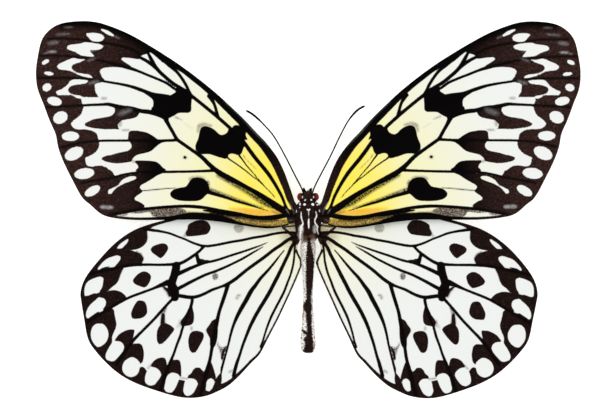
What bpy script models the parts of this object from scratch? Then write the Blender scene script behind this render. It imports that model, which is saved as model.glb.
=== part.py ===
"""A paper kite butterfly at life size, standing on four feet with its wings set wide and flat.

Sizes are in millimetres and become metres where a point is placed. A place is given as `out`, away from
the midline, `fore`, towards the head, and `up`, above the ground. The head points along -Y and the
animal's left side lies along +X.
"""

import math

import bmesh
import bpy
from mathutils import Vector
from mathutils.geometry import delaunay_2d_cdt

MM = 0.001
GAP = 0.3
LEFT, RIGHT = 1, -1
SIDES = {"left": LEFT, "right": RIGHT}

# The body, from the face to the tip of the abdomen
BODY_UP = 9.5
BODY_SIDES = 16
NECK_FORE = 1.95
WAIST_FORE = -6.75
TAIL_FORE = -31.8

# Each ring of a body piece: fore, half width, half height, middle above the ground
HEAD_RINGS = [
    (4.15, 0.55, 0.65, 9.15),
    (3.95, 1.05, 1.15, 9.2),
    (3.4, 1.5, 1.6, 9.3),
    (2.8, 1.62, 1.7, 9.35),
    (2.3, 1.45, 1.45, 9.4),
    (NECK_FORE + GAP / 2, 1.15, 1.1, 9.4),
]
THORAX_RINGS = [
    (NECK_FORE - GAP / 2, 1.2, 1.15, 9.4),
    (1.5, 1.95, 1.75, 9.4),
    (0.8, 2.5, 2.4, 9.45),
    (-0.4, 2.9, 2.9, BODY_UP),
    (-1.8, 3.05, 3.1, BODY_UP),
    (-3.4, 3.0, 3.0, 9.45),
    (-4.9, 2.75, 2.6, 9.4),
    (-6.0, 2.25, 2.1, 9.3),
    (WAIST_FORE + GAP / 2, 1.6, 1.5, 9.2),
]

# The abdomen: half width and half height at shares of its length, pinched between its rings of cuticle
ABDOMEN_GIRTH = [(0.0, 1.55, 1.45), (0.08, 1.8, 1.75), (0.25, 1.4, 1.5), (0.45, 1.12, 1.25),
                 (0.62, 1.2, 1.3), (0.85, 1.5, 1.5), (0.95, 1.42, 1.4), (1.0, 0.75, 0.8)]
ABDOMEN_SEGMENTS = 8
ABDOMEN_PINCH = 0.07
ABDOMEN_UP = 9.2
ABDOMEN_SAG = 1.3

EYE_AT = (1.62, 3.0, 9.45)
EYE_RADII = (0.82, 0.95, 1.2)
EYE_RINGS = 10

# The wings. Both lie on one gently arched surface, the hindwing a step below the forewing.
WING_THICKNESS = 0.5
FOREWING_UP = 10.8
WING_STEP = 1.2
WING_ROOT_OUT = 3.0
WING_RISE = 0.095
SPAN = 57.0
SPAN_DROOP = 1.5
CHORD = 41.0
CHORD_DROOP = 1.2

VEIN_HALF_WIDTH = 0.45
VEIN_RIDGE = 0.2
MARGIN_SPACING = 3.2
VEIN_SPACING = 4.0
MERGE = 0.05

FOREWING_MARGIN = [
    (2.0, -0.6), (3.0, 0.7), (3.4, 2.3), (5.0, 8.0), (8.65, 14.3), (14.2, 20.2), (20.0, 26.0),
    (28.1, 32.3), (35.0, 36.5), (42.9, 40.2), (49.2, 41.6), (54.6, 41.1), (58.0, 38.7), (59.6, 34.6),
    (60.0, 30.3), (59.0, 24.6), (56.8, 19.0), (55.2, 14.5), (54.0, 10.6), (51.5, 5.9), (49.0, 2.1),
    (46.0, -0.3), (42.0, -1.55), (34.0, -1.95), (25.0, -1.95), (17.3, -2.8), (10.0, -3.9), (5.4, -3.5),
    (3.4, -2.7), (2.0, -1.8),
]
FOREWING_VEINS = {
    "costa": [(2.4, 0.0), (4.3, 3.5), (6.4, 9.0), (10.4, 15.1), (16.5, 21.4), (24.0, 28.2), (33.0, 34.4),
              (42.0, 38.9), (50.0, 40.5)],
    "radius": [(2.2, -0.9), (5.0, 1.2), (6.9, 5.7), (9.85, 9.7), (14.2, 15.1), (17.6, 19.0), (22.1, 22.7),
               (25.9, 25.8), (29.7, 28.8), (33.7, 32.3), (38.0, 34.8), (44.0, 36.7), (51.4, 37.4),
               (59.5, 37.0)],
    "radius_1": [(20.1, 21.3), (20.6, 23.3), (21.9, 26.0)],
    "radius_2": [(25.0, 24.9), (26.3, 27.4), (28.9, 30.8), (33.0, 33.9)],
    "radius_5": [(27.2, 26.2), (31.2, 28.2), (37.6, 31.0), (43.9, 32.9), (50.3, 33.8), (60.5, 33.7)],
    "media_1": [(28.8, 25.2), (33.3, 26.1), (39.7, 27.6), (47.1, 28.8), (54.6, 29.2), (60.8, 29.1)],
    "media_2": [(30.9, 20.6), (35.4, 21.7), (41.8, 23.0), (49.3, 23.3), (59.5, 22.6)],
    "cell_end": [(26.8, 26.2), (29.6, 24.4), (31.0, 21.3), (30.1, 18.2), (28.8, 15.8)],
    "media_3": [(28.8, 15.8), (35.0, 15.45), (43.9, 15.6), (50.0, 15.1), (56.0, 14.1)],
    "cubitus": [(2.2, -1.3), (6.3, 1.0), (12.2, 4.5), (18.2, 7.9), (22.7, 11.1), (28.8, 15.8)],
    "cubitus_1": [(19.6, 8.7), (28.1, 8.65), (35.0, 8.4), (42.7, 7.4), (48.2, 6.1), (52.3, 5.5)],
    "anal": [(2.2, -1.7), (6.5, -1.25), (10.2, -1.4), (15.0, -0.8), (21.2, 0.55), (28.1, 1.05), (35.0, 0.7),
             (41.8, -0.5), (46.5, -1.5)],
}

HINDWING_MARGIN = [
    (2.0, -5.4), (3.6, -3.9), (7.0, -1.8), (12.0, -0.4), (20.0, 0.4), (27.0, -0.7), (31.5, -2.0),
    (35.0, -3.1), (40.0, -5.4), (45.0, -9.5), (48.5, -13.2), (50.2, -17.0), (50.3, -20.5), (49.5, -24.6),
    (47.9, -29.8), (43.1, -34.9), (37.8, -38.3), (31.8, -40.5), (26.4, -41.5), (21.4, -40.6), (16.6, -37.7),
    (12.2, -33.5), (8.8, -28.0), (5.2, -19.9), (2.2, -13.4), (1.9, -11.3), (3.0, -9.0), (3.1, -7.6),
    (2.0, -6.6),
]
HINDWING_VEINS = {
    "subcosta": [(2.4, -5.4), (5.8, -4.9), (10.0, -5.7), (15.0, -6.6), (20.0, -7.55), (23.6, -8.0),
                 (28.2, -6.0), (33.5, -4.55), (38.2, -4.3)],
    "radial_sector": [(23.4, -8.0), (26.4, -10.3), (29.6, -12.0), (36.2, -12.1), (42.4, -12.9), (50.2, -14.8)],
    "cell_end": [(29.3, -11.9), (30.3, -14.6), (30.2, -17.2), (29.4, -19.4)],
    "media_1": [(30.3, -15.8), (35.0, -17.7), (40.6, -20.0), (46.8, -23.4), (50.6, -25.6)],
    "cubitus": [(2.6, -6.2), (5.9, -7.0), (10.0, -9.8), (15.6, -13.8), (18.4, -16.2), (21.6, -17.5),
                (25.7, -19.3), (29.4, -19.4)],
    "media_2": [(29.4, -19.4), (33.5, -23.4), (36.7, -26.8), (39.7, -30.5), (43.3, -35.6)],
    "media_3": [(25.7, -19.3), (26.4, -23.7), (28.7, -29.1), (31.7, -35.8), (33.2, -40.6)],
    "cubitus_1": [(17.7, -15.9), (19.4, -20.8), (20.8, -26.7), (21.6, -31.8), (22.7, -36.0), (23.7, -41.6)],
    "anal_1": [(2.9, -6.5), (5.9, -8.7), (10.0, -14.0), (14.6, -20.3), (17.3, -27.2), (18.9, -34.4),
               (20.4, -40.8)],
    "anal_2": [(2.9, -6.7), (5.25, -10.4), (9.3, -18.3), (12.9, -24.6), (15.3, -32.1), (16.4, -38.2)],
    "anal_3": [(2.8, -6.9), (3.55, -9.6), (4.75, -15.2), (7.8, -22.1), (10.4, -29.4), (11.6, -33.3)],
}

# The feelers, from the brow to the tip: out, fore, up, radius
FEELERS = {
    "left": [(0.85, 3.2, 9.9, 0.25), (1.5, 5.1, 10.6, 0.25), (3.2, 8.1, 11.5, 0.25), (5.2, 11.8, 12.6, 0.25),
             (7.7, 16.3, 13.9, 0.25), (10.1, 19.2, 14.8, 0.29), (12.1, 21.1, 15.3, 0.36),
             (13.6, 22.0, 15.5, 0.25)],
    "right": [(0.85, 3.2, 9.9, 0.25), (1.4, 5.1, 10.6, 0.25), (2.9, 8.1, 11.5, 0.25), (4.9, 11.9, 12.6, 0.25),
              (7.0, 16.3, 13.9, 0.25), (8.9, 19.8, 14.8, 0.29), (10.9, 22.1, 15.3, 0.36),
              (12.5, 23.0, 15.5, 0.25)],
}
FEELER_SPACING = 1.3

PALP = [(0.5, 3.5, 8.4, 0.36), (0.68, 4.35, 8.35, 0.38), (0.76, 4.8, 8.9, 0.33), (0.78, 5.0, 9.5, 0.2)]
PALP_SPACING = 0.35

# The tongue, coiled under the face like a watch spring
TONGUE_RADIUS = 0.25
TONGUE_COIL_FORE = 3.35
TONGUE_COIL_UP = 6.35
TONGUE_OUTER = 1.2
TONGUE_PITCH = 0.62
TONGUE_TURNS = 1.4
TONGUE_STEPS = 22

# The legs, from the hip to the last toe joint: out, fore, up, radius. The forelegs are small and folded.
FORELEG = [(0.7, 0.5, 7.6, 0.32), (1.1, 1.3, 6.7, 0.32), (1.35, 2.3, 6.3, 0.3), (1.4, 2.6, 5.9, 0.27),
           (1.3, 2.2, 5.5, 0.26), (1.1, 1.1, 5.45, 0.22)]
MIDLEG = [(0.8, -1.0, 7.4, 0.42), (1.5, -0.9, 6.0, 0.42), (3.2, -0.1, 6.6, 0.4), (5.3, 1.1, 7.5, 0.33),
          (5.9, 1.5, 7.2, 0.3), (6.9, 2.9, 4.2, 0.29), (7.8, 4.2, 1.1, 0.27), (8.2, 4.8, 0.4, 0.26),
          (8.7, 5.5, 0.21, 0.26), (9.9, 7.2, 0.21, 0.26)]
HINDLEG = [(0.8, -4.0, 7.4, 0.42), (1.5, -4.2, 6.0, 0.42), (3.1, -5.3, 6.6, 0.4), (4.9, -6.9, 7.4, 0.33),
           (5.4, -7.4, 7.1, 0.3), (6.7, -9.1, 4.2, 0.29), (8.0, -10.7, 1.1, 0.27), (8.4, -11.3, 0.4, 0.26),
           (8.9, -12.0, 0.21, 0.26), (10.2, -13.8, 0.21, 0.26)]
LEG_SPACING = 0.95
GROUND_SIZE = 60.0

# Colour, roughness
CUTICLE = {
    "head": ((0.035, 0.022, 0.018), 0.6),
    "thorax": ((0.05, 0.03, 0.024), 0.7),
    "abdomen": ((0.33, 0.31, 0.27), 0.75),
    "eye": ((0.2, 0.02, 0.012), 0.25),
    "forewing": ((0.86, 0.84, 0.6), 0.6),
    "hindwing": ((0.88, 0.89, 0.84), 0.6),
    "antenna": ((0.012, 0.01, 0.01), 0.5),
    "palp": ((0.02, 0.015, 0.014), 0.7),
    "proboscis": ((0.05, 0.025, 0.015), 0.4),
    "leg": ((0.025, 0.02, 0.018), 0.55),
}


def clear_scene():
    """Removes whatever the scene holds and returns the collections for the parts and for the cutters."""
    for thing in list(bpy.data.objects):
        bpy.data.objects.remove(thing)
    collections = []
    for name in ("paper_kite", "cutters"):
        collection = bpy.data.collections.new(name)
        bpy.context.scene.collection.children.link(collection)
        collections.append(collection)
    return collections


def place(side, out, fore, up):
    """The point in metres at a place given in millimetres on one side of the animal."""
    return Vector((side * out, -fore, up)) * MM


def finish_of(kind):
    """The material of one kind of piece, made once."""
    found = bpy.data.materials.get(kind)
    if found:
        return found
    colour, roughness = CUTICLE[kind]
    made = bpy.data.materials.new(kind)
    made.use_nodes = True
    shader = made.node_tree.nodes["Principled BSDF"]
    shader.inputs["Base Color"].default_value = (*colour, 1.0)
    shader.inputs["Roughness"].default_value = roughness
    shader.inputs["Metallic"].default_value = 0.0
    return made


def object_from(name, mesh_maker, collection, kind=None):
    """An object whose mesh is the bmesh that mesh_maker fills, with its faces turned outwards."""
    shape = bmesh.new()
    mesh_maker(shape)
    bmesh.ops.recalc_face_normals(shape, faces=shape.faces)
    mesh = bpy.data.meshes.new(name)
    shape.to_mesh(mesh)
    shape.free()
    made = bpy.data.objects.new(name, mesh)
    collection.objects.link(made)
    if kind:
        mesh.materials.append(finish_of(kind))
    return made


def as_cutter(thing):
    """Marks an object as one that only cuts others."""
    thing.hide_render = True
    thing.display_type = "WIRE"
    return thing


def cut(thing, cutter):
    """Takes the cutter's space out of a piece."""
    modifier = thing.modifiers.new("clear_of_" + cutter.name, "BOOLEAN")
    modifier.operation = "DIFFERENCE"
    modifier.object = cutter
    modifier.solver = "EXACT"


def between(points, step):
    """Every span of a line as its four neighbouring points, the ends doubled."""
    last = len(points) - 1
    for i in range(last):
        yield [points[max(0, min(last, i + k))] for k in (-1, 0, 1, 2)], step


def smooth_line(points, spacing):
    """Points along a smooth line through the given ones, each span cut into equal parts near spacing."""
    line = [Vector(points[0])]
    for (before, start, end, after), reach in between([Vector(p) for p in points], spacing):
        parts = max(1, round((end - start).length / reach))
        for k in range(1, parts + 1):
            t = k / parts
            line.append(0.5 * (2 * start + (end - before) * t
                               + (2 * before - 5 * start + 4 * end - after) * t ** 2
                               + (3 * start - before - 3 * end + after) * t ** 3))
    return line


def rings_between(shape, rings):
    """Joins rings of vertices into a closed skin, with a fan over each end."""
    for ring, following in zip(rings, rings[1:]):
        for i in range(len(ring)):
            j = (i + 1) % len(ring)
            shape.faces.new((ring[i], ring[j], following[j], following[i]))
    shape.faces.new(reversed(rings[0]))
    shape.faces.new(rings[-1])


def body_shape(rings, grown=0.0):
    """A maker of a body piece through elliptical rings, each wider and the ends longer by grown."""
    def make(shape):
        made = []
        for i, (fore, wide, high, up) in enumerate(rings):
            push = grown if i == 0 else -grown if i == len(rings) - 1 else 0.0
            ring = []
            for k in range(BODY_SIDES):
                turn = 2 * math.pi * k / BODY_SIDES
                out = (wide + grown) * math.cos(turn)
                ring.append(shape.verts.new(place(LEFT, out, fore + push, up + (high + grown) * math.sin(turn))))
            made.append(ring)
        rings_between(shape, made)
    return make


def girth_at(share):
    """Half width and half height of the abdomen at a share of its length."""
    for (start, *first), (end, *second) in zip(ABDOMEN_GIRTH, ABDOMEN_GIRTH[1:]):
        if share <= end:
            t = (share - start) / (end - start)
            return [a + (b - a) * t for a, b in zip(first, second)]
    return ABDOMEN_GIRTH[-1][1:]


def abdomen_rings():
    """The rings of the abdomen, narrower where two segments meet."""
    start = WAIST_FORE - GAP / 2
    rings = []
    for i in range(2 * ABDOMEN_SEGMENTS + 1):
        share = i / (2 * ABDOMEN_SEGMENTS)
        wide, high = girth_at(share)
        joint = i % 2 == 0 and 0 < share < 1
        slim = 1 - ABDOMEN_PINCH if joint else 1.0
        up = ABDOMEN_UP - ABDOMEN_SAG * share ** 2
        rings.append((start + (TAIL_FORE - start) * share, wide * slim, high * slim, up))
    return rings


def eye_shape(side, grown=0.0):
    """A maker of one eye, an upright ellipsoid."""
    def make(shape):
        bmesh.ops.create_uvsphere(shape, u_segments=EYE_RINGS + 4, v_segments=EYE_RINGS, radius=1.0)
        wide, deep, high = (radius + grown for radius in EYE_RADII)
        centre = place(side, *EYE_AT)
        for vertex in shape.verts:
            x, y, z = vertex.co
            vertex.co = centre + Vector((x * wide, y * deep, z * high)) * MM
    return make


def wing_up(out, fore, step):
    """How high a wing's middle surface lies above the ground, step below the forewing's."""
    away = out - WING_ROOT_OUT
    arch = SPAN_DROOP * (away / SPAN) ** 2 + CHORD_DROOP * (fore / CHORD) ** 2
    return FOREWING_UP - step + WING_RISE * away - arch


def offset_line(line, distance):
    """A line beside a flat line, the distance away to its left."""
    beside = []
    for i, point in enumerate(line):
        along = (line[min(i + 1, len(line) - 1)] - line[max(i - 1, 0)]).normalized()
        beside.append(point + Vector((-along.y, along.x)) * distance)
    return beside


def distance_to(point, line):
    """How far a flat point lies from a flat line."""
    nearest = math.inf
    for start, end in zip(line, line[1:]):
        along = end - start
        share = max(0.0, min(1.0, (point - start).dot(along) / along.length_squared))
        nearest = min(nearest, (point - start - along * share).length)
    return nearest


def wing_plan(margin, veins):
    """Flat triangles of a wing, with edges along each vein's crest and both its feet, and the crests."""
    rim = smooth_line([*margin, margin[0]], MARGIN_SPACING)[:-1]
    points = list(rim)
    edges = []
    crests = [smooth_line(vein, VEIN_SPACING) for vein in veins.values()]
    for crest in crests:
        for line in (crest, offset_line(crest, VEIN_HALF_WIDTH), offset_line(crest, -VEIN_HALF_WIDTH)):
            first = len(points)
            points += line
            edges += [(first + i, first + i + 1) for i in range(len(line) - 1)]
    inside_faces = 1
    flat, _, faces, *_ = delaunay_2d_cdt(points, edges, [list(range(len(rim)))], inside_faces, MERGE)
    return flat, faces, crests


def wing_shape(side, margin, veins, step):
    """A maker of a wing: an arched membrane whose veins stand up as ridges on both faces."""
    flat, faces, crests = wing_plan(margin, veins)

    def make(shape):
        skins = {LEFT: [], RIGHT: []}
        for point in flat:
            near = min(distance_to(point, crest) for crest in crests)
            ridge = VEIN_RIDGE * max(0.0, 1 - near / VEIN_HALF_WIDTH)
            middle = wing_up(point.x, point.y, step)
            for face, skin in skins.items():
                up = middle + face * (WING_THICKNESS / 2 + ridge)
                skin.append(shape.verts.new(place(side, point.x, point.y, up)))
        borders = {}
        for corners in faces:
            for skin in skins.values():
                shape.faces.new([skin[i] for i in corners])
            for start, end in zip(corners, [*corners[1:], corners[0]]):
                borders[frozenset((start, end))] = borders.get(frozenset((start, end)), 0) + 1
        upper, lower = skins.values()
        for ends, uses in borders.items():
            if uses == 1:
                start, end = ends
                shape.faces.new((upper[start], upper[end], lower[end], lower[start]))
    return make


def tube(name, side, route, spacing, collection, kind):
    """A tapering tube along out, fore, up and radius, as a mesh with closed ends."""
    line = smooth_line(route, spacing)
    curve = bpy.data.curves.new(name + "_route", "CURVE")
    curve.dimensions = "3D"
    curve.bevel_depth = MM
    curve.bevel_resolution = 2
    curve.use_fill_caps = True
    spline = curve.splines.new("POLY")
    spline.points.add(len(line) - 1)
    for point, (out, fore, up, radius) in zip(spline.points, line):
        point.co = (*place(side, out, fore, up), 1.0)
        point.radius = radius
    guide = bpy.data.objects.new(name + "_guide", curve)
    collection.objects.link(guide)
    bpy.context.view_layer.update()
    mesh = bpy.data.meshes.new_from_object(guide.evaluated_get(bpy.context.evaluated_depsgraph_get()))
    bpy.data.objects.remove(guide)
    shape = bmesh.new()
    shape.from_mesh(mesh)
    bmesh.ops.remove_doubles(shape, verts=shape.verts, dist=0.005 * MM)
    bmesh.ops.recalc_face_normals(shape, faces=shape.faces)
    shape.to_mesh(mesh)
    shape.free()
    mesh.name = name
    mesh.materials.clear()
    mesh.materials.append(finish_of(kind))
    made = bpy.data.objects.new(name, mesh)
    collection.objects.link(made)
    return made


def tongue_route():
    """The tongue's line: down from the mouth and round in a shrinking coil on the midline."""
    route = [(0.0, TONGUE_COIL_FORE + 0.75, TONGUE_COIL_UP + 1.85, TONGUE_RADIUS)]
    for i in range(TONGUE_STEPS + 1):
        turned = 2 * math.pi * TONGUE_TURNS * i / TONGUE_STEPS
        reach = TONGUE_OUTER - TONGUE_PITCH * turned / (2 * math.pi)
        angle = math.radians(25) - turned
        route.append((0.0, TONGUE_COIL_FORE + reach * math.cos(angle),
                      TONGUE_COIL_UP + reach * math.sin(angle), TONGUE_RADIUS))
    return route


def build_head(parts, cutters):
    """The head with its eye sockets, the eyes, the feelers, the palps and the coiled tongue."""
    head = object_from("head", body_shape(HEAD_RINGS), parts, "head")
    grown_head = as_cutter(object_from("head_space", body_shape(HEAD_RINGS, GAP), cutters))
    for name, side in SIDES.items():
        object_from("eye_" + name, eye_shape(side), parts, "eye")
        socket = as_cutter(object_from("socket_" + name, eye_shape(side, GAP), cutters))
        cut(head, socket)
        feeler = tube("antenna_" + name, side, FEELERS[name], FEELER_SPACING, parts, "antenna")
        palp = tube("palp_" + name, side, PALP, PALP_SPACING, parts, "palp")
        for piece in (feeler, palp):
            cut(piece, grown_head)
    tongue = tube("proboscis", LEFT, tongue_route(), 10 * TONGUE_OUTER, parts, "proboscis")
    cut(tongue, grown_head)


def build_legs(parts, grown_thorax, ground):
    """Three pairs of legs: the small folded forelegs and the four that stand on the ground."""
    for name, side in SIDES.items():
        for kind, route in (("foreleg_", FORELEG), ("midleg_", MIDLEG), ("hindleg_", HINDLEG)):
            leg = tube(kind + name, side, route, LEG_SPACING, parts, "leg")
            cut(leg, grown_thorax)
            if route is not FORELEG:
                cut(leg, ground)


def ground_shape(shape):
    """The space under the feet."""
    bmesh.ops.create_cube(shape, size=GROUND_SIZE * MM)
    bmesh.ops.translate(shape, verts=shape.verts, vec=(0, 0, -GROUND_SIZE / 2 * MM))


def build_wings(parts, grown_thorax):
    """Both pairs of wings, cut to meet the sides of the thorax."""
    for name, side in SIDES.items():
        for kind, margin, veins, step in (("forewing", FOREWING_MARGIN, FOREWING_VEINS, 0.0),
                                          ("hindwing", HINDWING_MARGIN, HINDWING_VEINS, WING_STEP)):
            wing = object_from(f"{kind}_{name}", wing_shape(side, margin, veins, step), parts, kind)
            cut(wing, grown_thorax)


def main():
    """Builds the butterfly from its body outwards."""
    parts, cutters = clear_scene()
    object_from("thorax", body_shape(THORAX_RINGS), parts, "thorax")
    object_from("abdomen", body_shape(abdomen_rings()), parts, "abdomen")
    grown_thorax = as_cutter(object_from("thorax_space", body_shape(THORAX_RINGS, GAP), cutters))
    ground = as_cutter(object_from("ground_space", ground_shape, cutters))
    build_head(parts, cutters)
    build_wings(parts, grown_thorax)
    build_legs(parts, grown_thorax, ground)


main()
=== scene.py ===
"""The looks of a life-size paper kite butterfly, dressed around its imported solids.

Plan sizes are in millimetres. A place is `out`, away from the midline, `fore`, towards the head, and `up`,
above the floor. The head points along -Y and the animal's left side lies along +X.
"""

from __future__ import annotations

import logging
import math
from dataclasses import dataclass
from enum import Enum
from functools import cache
from typing import Callable, Iterable, Sequence

import bmesh
import bpy
import numpy as np
from bpy.types import Material, Mesh, Node, NodeSocket, NodeTree, Object
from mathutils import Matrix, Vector
from mathutils.geometry import delaunay_2d_cdt

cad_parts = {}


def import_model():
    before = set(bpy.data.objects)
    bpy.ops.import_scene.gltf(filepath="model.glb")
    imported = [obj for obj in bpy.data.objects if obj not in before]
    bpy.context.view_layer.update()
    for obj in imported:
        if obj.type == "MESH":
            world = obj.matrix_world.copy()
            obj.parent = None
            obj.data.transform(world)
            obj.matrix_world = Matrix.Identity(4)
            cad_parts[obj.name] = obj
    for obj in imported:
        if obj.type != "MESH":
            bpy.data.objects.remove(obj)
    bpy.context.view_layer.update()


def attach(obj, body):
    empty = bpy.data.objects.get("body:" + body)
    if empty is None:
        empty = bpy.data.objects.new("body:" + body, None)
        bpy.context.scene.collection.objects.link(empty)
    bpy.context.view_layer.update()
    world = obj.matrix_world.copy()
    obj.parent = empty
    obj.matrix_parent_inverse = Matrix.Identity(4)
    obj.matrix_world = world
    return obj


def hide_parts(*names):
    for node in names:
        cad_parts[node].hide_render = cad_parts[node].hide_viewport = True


LOG = logging.getLogger("paper_kite")

MM = 0.001
BODY = "root"
LEFT, RIGHT = 1, -1
SIDES = {"left": LEFT, "right": RIGHT}
FAR = 5.0
# How high the wings are seen, and from how far above them
WING_UP = 12.0
EYE_ABOVE = 800.0
# Where along the body the camera aims, and where the drawing has that place
EYE_FORE = 0.44
DRAWING_FORE = 0.22

Colour = tuple[float, float, float]
Points = Sequence[Sequence[float]]


def place(side: int, out: float, fore: float, up: float) -> Vector:
    """The point in metres at a place given in millimetres on one side."""
    return Vector((side * out, -fore, up)) * MM


def smooth_line(points: Points, spacing: float, closed: bool = False) -> np.ndarray:
    """Points along a smooth line through the given ones.

    Args:
        points: The line's own points, with any number of components each.
        spacing: About how far apart the new points lie.
        closed: Whether the line runs on from its last point to its first.

    Returns:
        One row for each point of the line.
    """
    given = np.array(points, dtype=float)
    count = len(given)
    last = count if closed else count - 1
    rows = [given[0]]
    for i in range(last):
        if closed:
            before, start, end, after = (given[(i + k) % count] for k in (-1, 0, 1, 2))
        else:
            before, start, end, after = (given[min(max(i + k, 0), count - 1)] for k in (-1, 0, 1, 2))
        parts = max(1, round(float(np.linalg.norm((end - start)[:2])) / spacing))
        for k in range(1, parts + 1):
            t = k / parts
            rows.append(0.5 * (2 * start + (end - before) * t
                               + (2 * before - 5 * start + 4 * end - after) * t ** 2
                               + (3 * start - before - 3 * end + after) * t ** 3))
    return np.array(rows[:-1] if closed else rows)


def step_between(low: float, high: float, value: np.ndarray) -> np.ndarray:
    """A smooth rise from 0 at low to 1 at high, or a fall where high is the lower."""
    share = np.clip((value - low) / (high - low), 0.0, 1.0)
    return share * share * (3 - 2 * share)


def places_near(line: np.ndarray, reach: float, at: np.ndarray) -> np.ndarray:
    """Which places lie no farther than reach from a line's box."""
    low, high = line[:, :2].min(0) - reach, line[:, :2].max(0) + reach
    return np.flatnonzero(np.all((at > low) & (at < high), axis=1))


def piece_gap(start: np.ndarray, end: np.ndarray, at: np.ndarray) -> tuple[np.ndarray, np.ndarray]:
    """How far along a straight piece each place lies, as a share, and how far from it."""
    along = end[:2] - start[:2]
    away = at - start[:2]
    share = np.clip(away @ along / max(float(along @ along), 1e-9), 0.0, 1.0)
    return share, np.hypot(*(away - share[:, None] * along).T)


class Mark:
    """A drawn shape that knows how far any place lies from its edge."""

    def distance(self, at: np.ndarray) -> np.ndarray:
        """Signed distance in mm of each place from the edge, negative inside."""
        raise NotImplementedError


@dataclass(frozen=True)
class Stroke(Mark):
    """A line of changing width, given as out, fore and width."""

    points: Points
    spacing: float = 0.8

    def distance(self, at: np.ndarray) -> np.ndarray:
        """Signed distance of each place from the stroke's edge."""
        line = smooth_line(self.points, self.spacing)
        result = np.full(len(at), FAR)
        near = places_near(line, FAR + line[:, 2].max(), at)
        spots = at[near]
        best = np.full(len(near), FAR)
        for start, end in zip(line, line[1:]):
            share, gap = piece_gap(start, end, spots)
            best = np.minimum(best, gap - (start[2] + share * (end[2] - start[2])) / 2)
        result[near] = best
        return result


@dataclass(frozen=True)
class Patch(Mark):
    """A closed smooth outline."""

    points: Points
    spacing: float = 0.5

    def distance(self, at: np.ndarray) -> np.ndarray:
        """Signed distance of each place from the outline."""
        line = smooth_line(self.points, self.spacing, closed=True)
        result = np.full(len(at), FAR)
        near = places_near(line, FAR, at)
        spots = at[near]
        best = np.full(len(near), FAR)
        inside = np.zeros(len(near), dtype=bool)
        for start, end in zip(line, np.roll(line, -1, axis=0)):
            best = np.minimum(best, piece_gap(start, end, spots)[1])
            crossing = (start[1] > spots[:, 1]) != (end[1] > spots[:, 1])
            run, rise = end - start
            rise = rise if abs(rise) > 1e-9 else 1e-9
            inside ^= crossing & (spots[:, 0] < start[0] + run * (spots[:, 1] - start[1]) / rise)
        result[near] = np.where(inside, -best, best)
        return result


@dataclass(frozen=True)
class Spot(Mark):
    """An oval, with its long half first and its turn in degrees."""

    out: float
    fore: float
    long: float
    short: float
    turn: float = 0.0

    def distance(self, at: np.ndarray) -> np.ndarray:
        """Signed distance of each place from the oval, nearly true close to its edge."""
        angle = math.radians(self.turn)
        away = at - (self.out, self.fore)
        along = away @ (math.cos(angle), math.sin(angle))
        across = away @ (-math.sin(angle), math.cos(angle))
        ratio = np.hypot(along / self.long, across / self.short)
        steep = np.hypot(along / self.long ** 2, across / self.short ** 2)
        return np.clip(ratio * (ratio - 1) / np.maximum(steep, 1e-6), -FAR, FAR)


def nearest(marks: Iterable[Mark], at: np.ndarray) -> np.ndarray:
    """Signed distance of each place from the nearest of several marks."""
    best = np.full(len(at), FAR)
    for mark in marks:
        best = np.minimum(best, mark.distance(at))
    return best


class Shade(Enum):
    """How firmly a soft mark covers what lies under it."""

    FAINT = 0.3
    HALF = 0.55
    DEEP = 0.85
    FULL = 0.98


@dataclass(frozen=True)
class SoftMark:
    """A mark with a blurred edge."""

    mark: Mark
    shade: Shade
    blur: float = 0.3


Drawing = Callable[[], list[Mark]]
Shading = Callable[[], list[SoftMark]]
Tint = Callable[[np.ndarray], np.ndarray]


def soft_spots(shade: Shade, blur: float, *rows: Sequence[float]) -> list[SoftMark]:
    """Soft ovals of one shade and blur, each row as a Spot takes it."""
    return [SoftMark(Spot(*row), shade, blur) for row in rows]


def soft_lines(shade: Shade, blur: float, *lines: Points) -> list[SoftMark]:
    """Soft strokes of one shade and blur."""
    return [SoftMark(Stroke(line), shade, blur) for line in lines]


def soft_cover(marks: Iterable[SoftMark], at: np.ndarray) -> np.ndarray:
    """How much of each place the soft marks cover, from 0 to 1."""
    cover = np.zeros(len(at))
    for soft in marks:
        amount = soft.shade.value * step_between(soft.blur, -soft.blur, soft.mark.distance(at))
        cover = np.maximum(cover, amount)
    return cover


# The forewing's outline from its root along the leading edge, round the tip and back
FOREWING_MARGIN = (
    (2.4, 0.6), (3.1, 1.9), (3.5, 3.1), (4.1, 5), (5, 7.7), (6.1, 10.3), (7.3, 12.4), (9.3, 15),
    (11.2, 17), (13, 19), (15, 21.1), (17.5, 23.5), (20.05, 25.88), (22.55, 27.97), (25, 29.88),
    (27.5, 31.68), (30, 33.35), (35, 36.4), (40, 39.1), (45, 41), (48, 41.6), (51, 41.6),
    (54, 41.2), (56, 40.4), (57.7, 39), (58.8, 37.2), (59.55, 34), (60, 30.5), (59.7, 27),
    (58.4, 23.5), (57.1, 20), (55.8, 17), (55.2, 14), (54.1, 11), (52.2, 7.1), (50, 3.1),
    (48, 1.3), (45.7, -0.6), (43, -1.4), (38, -1.9), (31, -1.95), (25, -1.9), (20, -2.35),
    (16, -2.95), (12, -3.6), (8.5, -3.85), (5.5, -3.4), (3.4, -2.7), (2.4, -1.9),
)
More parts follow.
